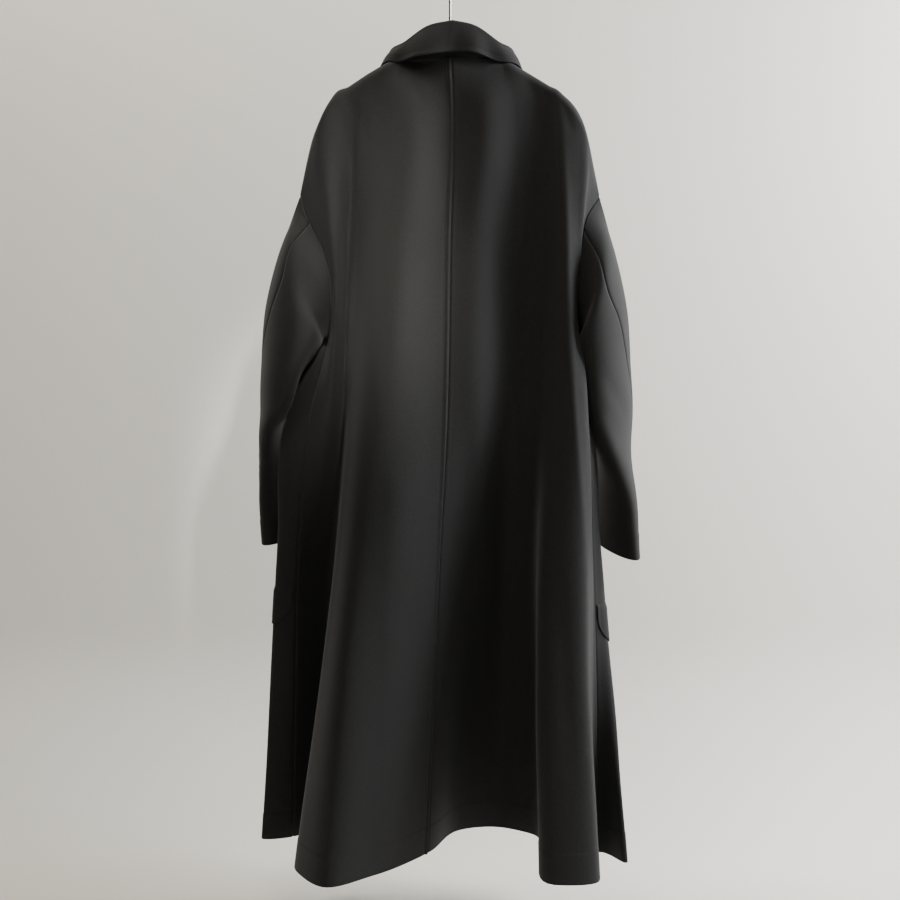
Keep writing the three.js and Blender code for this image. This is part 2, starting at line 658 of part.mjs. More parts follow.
mitreSeams();
for (const [side, mirror, table] of [["left", 1, SLEEVE_LEFT], ["right", -1, SLEEVE_RIGHT]]) {
  const backSheet = mirror > 0 ? sheets.backLeft : sheets.backRight;
  const frontSheet = mirror > 0 ? sheets.frontLeft : sheets.frontRight;
  const sleeve = makeSleeve(armholeRing(backSheet, frontSheet), table, mirror);
  mitreArmhole(backSheet, frontSheet, sleeve);
  const edges = { drawIn: { start: AT_SEAM, end: AT_SEAM, top: AT_ARMHOLE }, flip: mirror > 0 };
  add(`under_sleeve_${side}`, clothWall(sleeveStrip(sleeve, BACK_SEAM_COLUMN, FRONT_SEAM_COLUMN), edges), wool);
  const around = BACK_SEAM_COLUMN + sleeve[0].length;
  add(`top_sleeve_${side}`, clothWall(sleeveStrip(sleeve, FRONT_SEAM_COLUMN, around), edges), wool);
}

const panelEdges = {
  backLeft: { drawIn: { start: AT_SEAM, end: AT_SEAM, top: AT_SEAM }, flip: false },
  backRight: { drawIn: { start: AT_SEAM, end: AT_SEAM, top: AT_SEAM }, flip: true },
  frontLeft: { drawIn: { start: AT_SEAM, top: AT_ARMHOLE }, flip: false },
  frontRight: { drawIn: { start: AT_SEAM, top: AT_ARMHOLE }, flip: true },
};
for (const [name, sheet] of Object.entries(sheets)) {
  const nodeName = name.replace("Left", "_left").replace("Right", "_right");
  add(nodeName, clothWall(sheet, panelEdges[name]), wool);
}

// The collar is one folded wall: a stand that rises from the neck, its roll, and the fall outside it
function collarPoints(place, mirror) {
  const places = COLLAR.map((_, i) => i);
  const curve = (name) => {
    const spot = smoothThrough(places, COLLAR.map((row) => new THREE.Vector3(...row[name])), place);
    const middle = COLLAR[0][name][0];
    const aside = name === "neck" ? 0 : COLLAR_LEAN;
    const x = aside + (mirror > 0 || place === 0 ? spot.x : -spot.x + 2 * middle * Math.max(0, 1 - place));
    return atHeight(x, spot.y, spot.z);
  };
  const neck = curve("neck");
  neck.z += COLLAR_SEAT;
  const fold = curve("fold");
  const edge = curve("edge");
  const up = new THREE.Vector3(0, 0, 1);
  const out = edge.clone().sub(neck).setZ(0).normalize();
  const middle = fold.clone().addScaledVector(up, -COLLAR_ROLL);
  const onRoll = (degrees) => {
    const a = THREE.MathUtils.degToRad(degrees);
    return middle.clone().addScaledVector(out, COLLAR_ROLL * Math.cos(a)).addScaledVector(up, COLLAR_ROLL * Math.sin(a));
  };
  const standTop = onRoll(180);
  const fallTop = onRoll(0);
  return [
    neck,
    neck.clone().lerp(standTop, 0.5),
    standTop, onRoll(135), onRoll(90), onRoll(45), fallTop,
    fallTop.clone().lerp(edge, 0.33).addScaledVector(out, 1.2),
    fallTop.clone().lerp(edge, 0.66).addScaledVector(out, 1),
    edge,
  ];
}

function sheetNormals(sheet, sign) {
  const rows = sheet.length;
  const columns = sheet[0].length;
  for (let row = 0; row < rows; row += 1) {
    for (let column = 0; column < columns; column += 1) {
      const across = sheet[row][Math.min(column + 1, columns - 1)].at.clone()
        .sub(sheet[row][Math.max(column - 1, 0)].at);
      const down = sheet[Math.min(row + 1, rows - 1)][column].at.clone()
        .sub(sheet[Math.max(row - 1, 0)][column].at);
      sheet[row][column].normal = across.cross(down).multiplyScalar(sign).normalize();
    }
  }
  return sheet;
}

function collarSheet() {
  const sheet = Array.from({ length: 10 }, () => []);
  for (let i = 0; i <= COLLAR_COLUMNS; i += 1) {
    const place = (COLLAR.length - 1) * (1 - 2 * i / COLLAR_COLUMNS);
    const points = collarPoints(Math.abs(place), place >= 0 ? 1 : -1);
    points.forEach((point, k) => sheet[k].push({ at: point }));
  }
  return sheetNormals(sheet, -1);
}

add("collar", clothWall(collarSheet(), { flip: true }), wool);

// The row of a panel, with its fraction, at a share of the way down
function rowOf(share) {
  if (share <= underarmShare) return ARMHOLE_ROWS * Math.sqrt(share / underarmShare);
  return ARMHOLE_ROWS + SKIRT_ROWS * (share - underarmShare) / (1 - underarmShare);
}

// A place on the flat facets of a sheet, moved out from it
function onSheet(sheet, column, row, outwards) {
  const c = Math.min(Math.floor(column), sheet[0].length - 2);
  const r = Math.min(Math.floor(row), sheet.length - 2);
  const blend = (key) => {
    const upper = sheet[r][c][key].clone().lerp(sheet[r][c + 1][key], column - c);
    const lower = sheet[r + 1][c][key].clone().lerp(sheet[r + 1][c + 1][key], column - c);
    return upper.lerp(lower, row - r);
  };
  const normal = blend("normal").normalize();
  return { at: blend("at").addScaledVector(normal, outwards), normal };
}

// Pocket flaps: they lie on the front panels from the side seam forwards, with rounded lower corners
function flapSheet(shape, sheet, { top, from, to }) {
  const inner = [];
  for (let column = Math.ceil(from + 0.2); column < to; column += 1) inner.push(column);
  const columns = [from, from + 0.2, from + 0.5, ...inner.filter((c) => c > from + 0.5), to - 0.25, to - 0.1, to]
    .sort((a, b) => a - b);
  const spotAt = (column, height) => {
    const share = 1 - (1 - underarmShare) * height / UNDERARM_HEIGHT;
    return onSheet(sheet, column, rowOf(share), CLOTH + FLAP_GAP);
  };
  const reach = [0];
  for (let i = 1; i < columns.length; i += 1) {
    reach.push(reach[i - 1] + spotAt(columns[i], top).at.distanceTo(spotAt(columns[i - 1], top).at));
  }
  const width = reach[reach.length - 1];
  const lines = Array.from({ length: FLAP_ROWS + 1 }, () => []);
  columns.forEach((column, i) => {
    const fromEnd = Math.min(reach[i], width - reach[i], FLAP_CORNER);
    const lifted = FLAP_CORNER - Math.sqrt(FLAP_CORNER ** 2 - (FLAP_CORNER - fromEnd) ** 2);
    for (let row = 0; row <= FLAP_ROWS; row += 1) {
      const depth = FLAP_DEPTH - lifted;
      lines[row].push(spotAt(column, top - depth * row / FLAP_ROWS));
    }
  });
  return lines;
}

for (const flap of FLAPS) {
  const left = flap.side > 0;
  const shape = left ? shapes.frontLeft : shapes.frontRight;
  const sheet = left ? sheets.frontLeft : sheets.frontRight;
  add(flap.name, clothWall(flapSheet(shape, sheet, flap), { flip: !left }), wool);
}

// The place on a sheet of cloth at a given x and height, seen from the front
function placeOnFront(sheet, x, height) {
  const z = height - HOOK_HEIGHT;
  for (let row = 0; row < sheet.length - 1; row += 1) {
    for (let column = 0; column < sheet[0].length - 1; column += 1) {
      const corners = [sheet[row][column], sheet[row][column + 1], sheet[row + 1][column],
        sheet[row + 1][column + 1]];
      for (const [a, b, c] of [[corners[0], corners[1], corners[2]], [corners[3], corners[2], corners[1]]]) {
        const area = (b.at.x - a.at.x) * (c.at.z - a.at.z) - (c.at.x - a.at.x) * (b.at.z - a.at.z);
        if (Math.abs(area) < TINY) continue;
        const u = ((x - a.at.x) * (c.at.z - a.at.z) - (c.at.x - a.at.x) * (z - a.at.z)) / area;
        const v = ((b.at.x - a.at.x) * (z - a.at.z) - (x - a.at.x) * (b.at.z - a.at.z)) / area;
        if (u < -TINY || v < -TINY || u + v > 1 + TINY) continue;
        const blend = (key) => a[key].clone().multiplyScalar(1 - u - v).addScaledVector(b[key], u)
          .addScaledVector(c[key], v);
        const normal = blend("normal").normalize();
        if (normal.y < 0) return { at: blend("at"), normal };
      }
    }
  }
  return null;
}

// A place just in front of all the cloth that is near a point of the front
function overFront(sheet, x, height, otherwise, { reach, gap }) {
  const depths = [];
  for (const aside of [-reach, 0, reach]) {
    for (const above of [-reach, 0, reach]) {
      const spot = placeOnFront(sheet, x + aside, height + above);
      if (spot) depths.push(spot.at.y);
    }
  }
  const front = depths.length > 0 ? Math.min(...depths) : otherwise;
  return atHeight(x, front - CLOTH - gap, height);
}

// Lapels: the top of each front, turned back over the panel from the roll line
function lapelSheet(shape, sheet, mirror) {
  const outer = (along) => smoothThrough(LAPEL_EDGE.map((row) => row.along),
    LAPEL_EDGE.map((row) => new THREE.Vector3(row.x, 0, row.height)), along);
  const lines = [];
  for (let i = 0; i <= LAPEL_COLUMNS; i += 1) {
    const along = i / LAPEL_COLUMNS;
    const column = THREE.MathUtils.lerp(LAPEL_START_COLUMN, PANEL_COLUMNS - 0.1, along);
    const inner = onSheet(sheet, column, 0, 0).at;
    const edge = outer(along);
    const seated = THREE.MathUtils.smoothstep(along, 0.75, 1);
    const clear = {
      reach: THREE.MathUtils.lerp(LAPEL_REACH, LAPEL_REACH / 6, seated),
      gap: THREE.MathUtils.lerp(LAPEL_GAP, SEAM_GAP, seated),
    };
    const line = [];
    for (let row = 0; row <= LAPEL_ROWS; row += 1) {
      const across = THREE.MathUtils.lerp(LAPEL_INSET, 1, row / LAPEL_ROWS);
      const x = THREE.MathUtils.lerp(inner.x * mirror, edge.x, across) * mirror;
      const height = THREE.MathUtils.lerp(inner.z + HOOK_HEIGHT, edge.z, across);
      line.push({ at: overFront(sheet, x, height, onSheet(sheet, column, 0.4, 0).at.y, clear) });
    }
    lines.push(line);
  }
  return lines;
}

add("lapel_left", clothWall(sheetNormals(lapelSheet(shapes.frontLeft, sheets.frontLeft, 1), -1),
  { flip: true }), wool);
add("lapel_right", clothWall(sheetNormals(lapelSheet(shapes.frontRight, sheets.frontRight, -1), 1),
  { flip: false }), wool);

// Buttons: a turned disc with a raised rim and a dished middle, flat on the closed front
function buttonGeometry() {
  const half = BUTTON_THICKNESS / 2;
  const profile = [
    [0, -half], [BUTTON_RADIUS * 0.8, -half], [BUTTON_RADIUS, -half * 0.2], [BUTTON_RADIUS * 0.96, half * 0.6],
    [BUTTON_RADIUS * 0.84, half], [BUTTON_RADIUS * 0.7, half * 0.5], [0, half * 0.3],
  ].map(([x, y]) => new THREE.Vector2(x, y));
  return new THREE.LatheGeometry(profile, 20);
}

for (const button of BUTTONS) {
  const seat = placeOnFront(sheets.frontLeft, BUTTON_LINE, button.height);
  let highest = 0;
  for (let i = 0; i < 8; i += 1) {
    const a = Math.PI * i / 4;
    const spot = placeOnFront(sheets.frontLeft, BUTTON_LINE + BUTTON_RADIUS * Math.cos(a),
      button.height + BUTTON_RADIUS * Math.sin(a));
    highest = Math.max(highest, spot.at.sub(seat.at).dot(seat.normal));
  }
  const lift = highest + CLOTH / 2 + BUTTON_GAP + BUTTON_THICKNESS / 2;
  const mesh = add(button.name, buttonGeometry(), horn);
  mesh.quaternion.setFromUnitVectors(new THREE.Vector3(0, 1, 0), seat.normal);
  mesh.position.copy(seat.at).addScaledVector(seat.normal, lift);
}

// The hanger: two arms that follow the shoulder seams from below, and rise to the neck between them
function hangerGeometry() {
  const topEdge = [];
  const arm = (table) => Array.from({ length: 7 },
    (_, i) => shoulderPoint(table, THREE.MathUtils.lerp(HANGER_FROM, HANGER_END, i / 6)));
  const drop = CLOTH / 2 + HANGER_CLEARANCE;
  arm(SHOULDER_LEFT).reverse().forEach((spot) => topEdge.push([spot.x, spot.height - drop]));
  topEdge.push([38, HANGER_CROWN - 9], [0, HANGER_CROWN], [-38, HANGER_CROWN - 9]);
  arm(SHOULDER_RIGHT).forEach((spot) => topEdge.push([spot.x, spot.height - drop]));
  const last = topEdge.length - 1;
  const underEdge = topEdge.map(([x, height], i) => {
    const fromEnd = Math.min(i, last - i) / (last / 2);
    return [x, height - HANGER_DEPTH * (0.5 + 0.5 * Math.sqrt(fromEnd))];
  });
  const outline = new THREE.Shape();
  [...topEdge, ...underEdge.reverse()].forEach(([x, height], i) => {
    if (i === 0) outline.moveTo(x, height - HOOK_HEIGHT);
    else outline.lineTo(x, height - HOOK_HEIGHT);
  });
  outline.closePath();
  const geometry = new THREE.ExtrudeGeometry(outline, {
    depth: HANGER_THICKNESS - 2 * HANGER_EDGE,
    bevelEnabled: true,
    bevelThickness: HANGER_EDGE,
    bevelSize: HANGER_EDGE,
    bevelOffset: -HANGER_EDGE,
    bevelSegments: 2,
  });
  geometry.rotateX(Math.PI / 2);
  geometry.translate(0, HANGER_THICKNESS / 2 - HANGER_EDGE, 0);
  return geometry;
}

add("hanger", hangerGeometry(), wood);

// The wire hook: a stem from the crown of the hanger, a bend to the back and a round hook, seen edge on
function hookGeometry() {
  const wireRadius = HOOK_RADIUS + WIRE_RADIUS;
  const spots = [
    [0, HANGER_CROWN + SEAM_GAP - HOOK_HEIGHT], [0, HANGER_CROWN + 16 - HOOK_HEIGHT],
    [0, HANGER_CROWN + 34 - HOOK_HEIGHT], [4, HANGER_CROWN + 52 - HOOK_HEIGHT],
  ];
  for (let i = 0; i <= HOOK_STEPS; i += 1) {
    const a = THREE.MathUtils.degToRad(THREE.MathUtils.lerp(HOOK_FROM, HOOK_TO, i / HOOK_STEPS));
    spots.push([wireRadius * Math.cos(a), wireRadius * Math.sin(a) - HOOK_RADIUS]);
  }
  const path = new THREE.CatmullRomCurve3(spots.map(([y, z]) => new THREE.Vector3(0, y, z)), false, "centripetal");
  const section = new THREE.Shape();
  section.absarc(0, 0, WIRE_RADIUS, 0, 2 * Math.PI, false);
  return new THREE.ExtrudeGeometry(section, { steps: 30, curveSegments: 4, bevelEnabled: false, extrudePath: path });
}

add("hanger_hook", hookGeometry(), steel);

export default coat;
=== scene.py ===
"""A long chesterfield coat in heavy black wool, seen from the back on its wire-hook hanger.

Cloth is worked out in millimetres: x to the wearer's left, y to the back, and height up from the hem.
"""
import math

import bpy
import numpy as np
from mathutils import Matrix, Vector
from mathutils.kdtree import KDTree


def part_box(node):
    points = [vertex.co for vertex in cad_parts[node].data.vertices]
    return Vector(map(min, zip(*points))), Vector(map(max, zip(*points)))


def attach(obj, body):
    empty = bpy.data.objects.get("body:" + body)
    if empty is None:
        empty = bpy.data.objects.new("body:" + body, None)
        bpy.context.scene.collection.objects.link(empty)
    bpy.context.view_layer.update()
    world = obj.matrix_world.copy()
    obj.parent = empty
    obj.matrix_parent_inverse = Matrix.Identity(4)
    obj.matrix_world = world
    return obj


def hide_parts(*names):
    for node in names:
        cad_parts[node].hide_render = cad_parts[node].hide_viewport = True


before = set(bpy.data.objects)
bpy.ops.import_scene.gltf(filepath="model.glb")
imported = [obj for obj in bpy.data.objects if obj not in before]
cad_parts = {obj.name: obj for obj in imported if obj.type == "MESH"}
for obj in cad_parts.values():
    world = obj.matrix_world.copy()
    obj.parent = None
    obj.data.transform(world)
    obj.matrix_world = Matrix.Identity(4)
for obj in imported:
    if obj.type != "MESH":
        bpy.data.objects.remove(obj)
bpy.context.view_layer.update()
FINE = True

# Sizes shared with the solids
MM = 0.001
HOOK_HEIGHT = 1294
HOOK_RADIUS = 20
HOOK_TURN = (-50, 205)
WIRE_RADIUS = 1.9
HANGER_CROWN = 1164
CLOTH = 2.5
SHOULDER_ROUND = 16
NECK_BLEND = 60
ROLL_BLEND = 300
ROLL_DEPTH_BLEND = 110
TIP_HEIGHT = 954
UNDERARM_HEIGHT = 747
NECK_COLUMNS = 5
SHOULDER_COLUMNS = 14
PANEL_COLUMNS = NECK_COLUMNS + SHOULDER_COLUMNS
RIGHT_FRONT_BEHIND = 20

# The view: lens and sensor in millimetres, and the camera's place in metres
CAMERA_LENS = 43.52
CAMERA_SENSOR = 36
CAMERA_PLACE = (0, 1.6, -0.712)

# How finely the cloth is divided
ARMHOLE_ROWS = 60 if FINE else 30
SKIRT_ROWS = 140 if FINE else 70
COLUMN_STEP = 0.2 if FINE else 0.4
SLEEVE_ROWS = 120 if FINE else 60
COLLAR_COLUMNS = 161 if FINE else 61
COLLAR_SMOOTHING = 30 if FINE else 5
COLLAR_STAND_ROWS = 9
COLLAR_FALL_ROWS = 22
FLAP_DIVISIONS = 64
FLAP_ROWS = 26
LAPEL_DIVISIONS = 90
LAPEL_ROWS = 34
BUTTON_DIVISIONS = 56
WIRE_DIVISIONS = 20
HOOK_DIVISIONS = 61

# How uneven the free cloth of each part is
BODY_SLACK = 1.1
SLEEVE_SLACK = 1.0
SLEEVE_SEED = {"left": 11, "right": 12}
COLLAR_SLACK = 0.4

# The heights at which the folds of the body are placed
LEVELS = [("yoke", 1082), ("chest", 876), ("underarm", 747), ("ribs", 700), ("waist", 620), ("hip", 450),
          ("knee", 244), ("hem", 0)]

# Folds of each panel: the column, and x and y at each level
CENTRE_BACK = dict(column=0, yoke=(-5, 20), chest=(-1, 38), waist=(4, 64), hip=(13, 60), knee=(22, 46),
                   hem=(33, 25))
BACK_LEFT_FOLDS = [
    CENTRE_BACK,
    dict(column=4, yoke=(53, 30), chest=(71, 54), waist=(86, 98), hip=(88, 112), knee=(96, 112),
         hem=(105, 108)),
    dict(column=6, yoke=(96, 20), chest=(105, 40), waist=(115, 92), hip=(130, 112), knee=(146, 134),
         hem=(166, 149)),
    dict(column=9, yoke=(126, 15), chest=(131, 20), waist=(139, 60), hip=(155, 74), knee=(179, 86),
         hem=(211, 96)),
    dict(column=13, yoke=(148, 12), chest=(150, 8), waist=(160, 4), hip=(178, -22), knee=(192, -48),
         hem=(207, -72)),
    dict(column=15, yoke=(170, 18), chest=(162, 28), waist=(178, 20), hip=(205, -4), knee=(216, -28),
         hem=(222, -56)),
]
BACK_RIGHT_FOLDS = [
    CENTRE_BACK,
    dict(column=3, yoke=(-54, 30), chest=(-36, 37), waist=(-35, 54), hip=(-42, 12), knee=(-36, -40),
         hem=(-18, -72)),
    dict(column=6, yoke=(-96, 17), chest=(-92, 14), waist=(-88, 18), hip=(-84, -22), knee=(-80, -62),
         hem=(-72, -84)),
    dict(column=9, yoke=(-122, 13), chest=(-132, 18), waist=(-122, 24), hip=(-119, 2), knee=(-121, -38),
         hem=(-123, -55)),
    dict(column=12, yoke=(-146, 16), chest=(-153, 34), waist=(-146, 52), hip=(-136, 74), knee=(-134, 104),
         hem=(-142, 141)),
    dict(column=15, yoke=(-162, 23), chest=(-165, 41), ribs=(-171, 55), waist=(-176, 66), hip=(-187, 80),
         knee=(-188, 104), hem=(-197, 134)),
    dict(column=17, yoke=(-195, 18), chest=(-185.5, 31), underarm=(-185.5, 26), ribs=(-192, 42),
         waist=(-196, 52), hip=(-199, 56), knee=(-198.5, 66), hem=(-202.6, 66.7)),
]
FRONT_LEFT_FOLDS = [
    dict(column=2, yoke=(186, -16), chest=(175, -50), underarm=(192, -50), ribs=(223.5, -48),
         waist=(243, -3), hip=(250, 4), knee=(263, -14), hem=(280, -32)),
    dict(column=5, yoke=(166, -18), chest=(158, -58), underarm=(170, -68), ribs=(196, -76),
         waist=(212, -54), hip=(216, -56), knee=(236, -72), hem=(248, -84)),
    dict(column=8, yoke=(136, -20), chest=(124, -74), waist=(150, -98), hip=(172, -112), knee=(186, -120),
         hem=(202, -128)),
    dict(column=11, yoke=(108, -22), chest=(94, -76), waist=(104, -88), hip=(110, -94), knee=(116, -98),
         hem=(122, -100)),
    dict(column=14, yoke=(74, -38), chest=(66, -96), waist=(62, -106), hip=(60, -113), knee=(60, -118),
         hem=(62, -122)),
    dict(column=19, yoke=(-46, -104), chest=(-46, -106), waist=(-46, -112), hip=(-46, -115),
         knee=(-44, -118), hem=(-42, -120)),
]
FRONT_RIGHT_FOLDS = [
    dict(column=2, yoke=(-186, -16), chest=(-176, -51), underarm=(-176, -46), ribs=(-187, -28),
         waist=(-206, 6), hip=(-219, 4), knee=(-232, 20), hem=(-248, 62)),
    dict(column=5, yoke=(-166, -18), chest=(-160, -60), underarm=(-164, -62), waist=(-186, -50),
         hip=(-202, -48), knee=(-214, -40), hem=(-226, -12)),
    dict(column=8, yoke=(-136, -20), chest=(-126, -74), waist=(-146, -98), hip=(-166, -108),
         knee=(-182, -112), hem=(-196, -104)),
    dict(column=11, yoke=(-108, -22), chest=(-94, -70), waist=(-100, -82), hip=(-106, -86),
         knee=(-112, -88), hem=(-118, -88)),
    dict(column=14, yoke=(-74, -36), chest=(-66, -82), waist=(-60, -92), hip=(-58, -98), knee=(-58, -102),
         hem=(-58, -106)),
    dict(column=19, yoke=(44, -90), chest=(44, -92), waist=(44, -99), hip=(44, -105), knee=(44, -109),
         hem=(42, -112)),
]

# Shoulder seams: along from the neck, x and height
SHOULDER_LEFT = [(0, 76, 1156), (0.35, 122, 1132), (0.53, 148, 1115), (0.71, 171, 1100), (0.8, 187, 1070),
                 (0.9, 203, 1031), (1, 220, 954)]
SHOULDER_RIGHT = [(0, -76, 1156), (0.35, -120, 1131), (0.53, -144, 1116), (0.71, -164, 1103),
                  (0.8, -185, 1080), (0.9, -201, 1040), (1, -219, 954)]

# Armhole edges and side seams: height, x and y
ARMHOLE_BACK_LEFT = [(954, 220, 0), (916, 205, 14), (869, 183, 28), (823, 173, 26),
                     (780, 175, 10), (747, 180, -14)]
ARMHOLE_FRONT_LEFT = [(954, 220, 0), (916, 205, -20), (869, 189, -38), (800, 181, -42), (747, 180, -14)]
SIDE_SEAM_LEFT = [(747, 180, -14), (620, 206, 14), (450, 222, 8), (244, 230, -16), (0, 237, -42)]
ARMHOLE_BACK_RIGHT = [(954, -219, 0), (924, -200, 16), (880, -190, 24), (823, -185, 18), (780, -182, 4),
                      (747, -183, -14)]
ARMHOLE_FRONT_RIGHT = [(954, -219, 0), (916, -204, -20), (869, -191, -38), (800, -184, -42),
                       (747, -183, -14)]
SIDE_SEAM_RIGHT = [(747, -183, -14), (700, -188, 14), (620, -197, 30), (450, -206, 24), (244, -212, 26),
                   (0, -214, 22)]

# The back neckline and the roll line of each front: x, y and height for each neck column
BACK_NECK = [(-2, 24, 1150), (18, 23, 1150), (38, 20, 1151), (54, 15, 1152), (67, 8, 1154), (76, 0, 1156)]
ROLL_LINE = [(76, 0, 1156), (75, -34, 1118), (62, -64, 1062), (34, -88, 1000), (-4, -101, 940),
             (-46, -106, 880)]

# Sleeve sections below the armhole: height, x, y, half width out and back, turn, slant, lean,
# twist, and how far the side towards the body is hollowed
SLEEVE_LEFT = [
    (818, 216, -6, 28.5, 58, -6, 72, 0, 10, 0), (762, 230, -12, 41, 78, -15, 34, 0, 26, 8),
    (700, 245, -26, 35, 86, -13, 6, 0, 36, 14), (650, 256.5, -46, 29, 84, -10, 2, 2, 40, 14),
    (606, 268, -64, 19, 80, 0, 0, 4, 42, 4), (524, 260, -80, 18, 77, 12, 0, 8, 42, 0),
    (450, 254, -84, 18, 74, 15, 0, 8, 42, 0),
]
SLEEVE_RIGHT = [
    (818, -217, -8, 21, 56, -8, 70, 0, 8, 0), (762, -224, -18, 36, 76, -18, 34, 0, 20, 7),
    (700, -231.5, -34, 36, 82, -20, 8, 0, 28, 15), (650, -237, -44, 35, 82, -20, 4, 2, 32, 15),
    (606, -242, -50, 31, 81, -16, 2, 4, 34, 9), (524, -252, -58, 23.5, 78, 5, 0, 10, 34, 0),
    (436, -252, -62, 20, 75, 15, 0, 14, 34, 0),
]
BACK_SEAM = 0.4
FRONT_SEAM = 1.2
HEM = 40
HEM_ROWS = [42, 38.5, 36, 6, 3, 1.5]
CUFF = 38
HEM_LIFT = 0.5

# Where the back seam of each sleeve runs: section number and place round it
SEAM_LEFT = [(0, 0.44), (0.9, 0.54), (1.5, 0.59), (2, 0.55), (3, 0.42), (7, 0.4)]
SEAM_RIGHT = [(0, 0.5), (0.6, 0.6), (1.1, 0.65), (1.7, 0.61), (2.4, 0.48), (3.2, 0.36), (7, 0.36)]

# Collar from the centre back to its point: neck seam, fold and outer edge, each x, y and height
COLLAR = [
    dict(neck=(-1, 24, 1150), fold=(-1, 33, 1200), edge=(-1, 47, 1150)),
    dict(neck=(30, 22, 1150.5), fold=(34, 30, 1193), edge=(42, 42, 1149.5)),
    dict(neck=(55, 13, 1152.5), fold=(66, 19, 1175), edge=(78, 29, 1154)),
    dict(neck=(73, 0, 1158), fold=(87, -1, 1170), edge=(104, 0, 1152)),
    dict(neck=(73, -20, 1143), fold=(88, -26, 1152), edge=(114, -32, 1130)),
    dict(neck=(70, -46, 1111), fold=(82, -54, 1119), edge=(122, -38, 1095)),
]
COLLAR_LEAN = -2.5
COLLAR_ROLL = 4
COLLAR_INSIDE = 2.8
COLLAR_BELOW = 5
COLLAR_OFF_CLOTH = 3.4
COLLAR_CLOTH_ABOVE = 1040
TOP_STITCH = 7
WELT_LIFT = 1.5
WELT_STITCH = 7.6

LAPEL_EDGE = [(0, 120, 1080), (0.12, 134, 1062), (0.4, 104, 998), (0.75, 38, 926), (1, -38, 872)]
LAPEL_START = 15.4
FLAP_DEPTH = 58
FLAP_CORNER = 42
FLAP_COLUMNS = (0.35, 8.4)
FLAP_TOPS = {"left": 382, "right": 358}
FLAP_HALF = 0.9
FLAP_LET_IN = 0.7
FLAP_RISE = 1.5
LAPEL_RISE_TOP = 4.4
LAPEL_RISE_END = 2.9
LAPEL_ROLL = 2.6
BUTTONS = ("button_upper", "button_middle", "button_lower")


# Curves and sheets of cloth

def hermite(start, end, start_pull, end_pull, r):
    """A curve from start to end that leaves and arrives along the two pulls."""
    return (start * (2 * r**3 - 3 * r**2 + 1) + start_pull * (r**3 - 2 * r**2 + r)
            + end * (3 * r**2 - 2 * r**3) + end_pull * (r**3 - r**2))


def smooth_through(places, points, at):
    """A smooth curve through points that stand at given places along it."""
    places = np.asarray(places, float)
    points = np.asarray(points, float)
    at = np.atleast_1d(np.asarray(at, float))
    if places[-1] < places[0]:
        places, at = -places, -at
    at = np.clip(at, places[0], places[-1])
    step = np.diff(places)[:, None]
    chord = np.diff(points, axis=0) / step
    slope = np.empty_like(points)
    slope[0], slope[-1] = chord[0], chord[-1]
    share = step[:-1] / (step[:-1] + step[1:])
    slope[1:-1] = chord[:-1] * (1 - share) + chord[1:] * share
    i = np.clip(np.searchsorted(places, at, side="left") - 1, 0, len(places) - 2)
    span = step[i]
    r = ((at - places[i]) / span[:, 0])[:, None]
    return hermite(points[i], points[i + 1], slope[i] * span, slope[i + 1] * span, r)


def smoothstep(low, high, value):
    """From 0 at low to 1 at high, without a corner."""
    t = np.clip((np.asarray(value, float) - low) / (high - low), 0, 1)
    return t * t * (3 - 2 * t)


def unit(v):
    return v / np.maximum(np.linalg.norm(v, axis=-1, keepdims=True), 1e-9)


UNDERARM_SHARE = 1 - UNDERARM_HEIGHT / TIP_HEIGHT


def height_of(top_height, share):
    """The height of each row of a panel, from its own point of the top edge down to the hem."""
    upper = top_height + (UNDERARM_HEIGHT - top_height) * share / UNDERARM_SHARE
    return np.where(share <= UNDERARM_SHARE, upper, UNDERARM_HEIGHT * (1 - share) / (1 - UNDERARM_SHARE))


def shoulder_point(table, along):
    """Places on a shoulder seam."""
    return smooth_through([row[0] for row in table], [(row[1], 0, row[2]) for row in table], along)


def fold_line(fold, top, rounded):
    """One fold line of a panel, from its own point of the top edge to the hem."""
    levels = [(height, fold[name]) for name, height in LEVELS if name in fold]
    places = [height for height, _ in levels]
    points = [(*spot, 0) for _, spot in levels]
    if top[2] > LEVELS[0][1] + 20:
        places.insert(0, top[2])
        points.insert(0, (top[0], points[0][1] if rounded else top[1], 0))

    def at(share):
        height = height_of(top[2], share)
        spot = smooth_through(places, points, height)
        drop = np.minimum((top[2] - height) / SHOULDER_ROUND, 1)
        spot[:, 1] *= np.sqrt(1 - (1 - drop) ** 2) if rounded else 1
        spot[:, 2] = height
        return spot
    return fold["column"], at


def side_line(column, armhole, seam):
    """The outer line of a panel: the armhole edge, then the side seam."""
    def at(share):
        height = height_of(TIP_HEIGHT, share)
        upper, lower = [
            smooth_through([row[0] for row in rows], [(row[1], row[2], 0) for row in rows], height)
            for rows in (armhole, seam)]
        spot = np.where((height >= UNDERARM_HEIGHT)[:, None], upper, lower)
        spot[:, 2] = height
        return spot
    return column, at


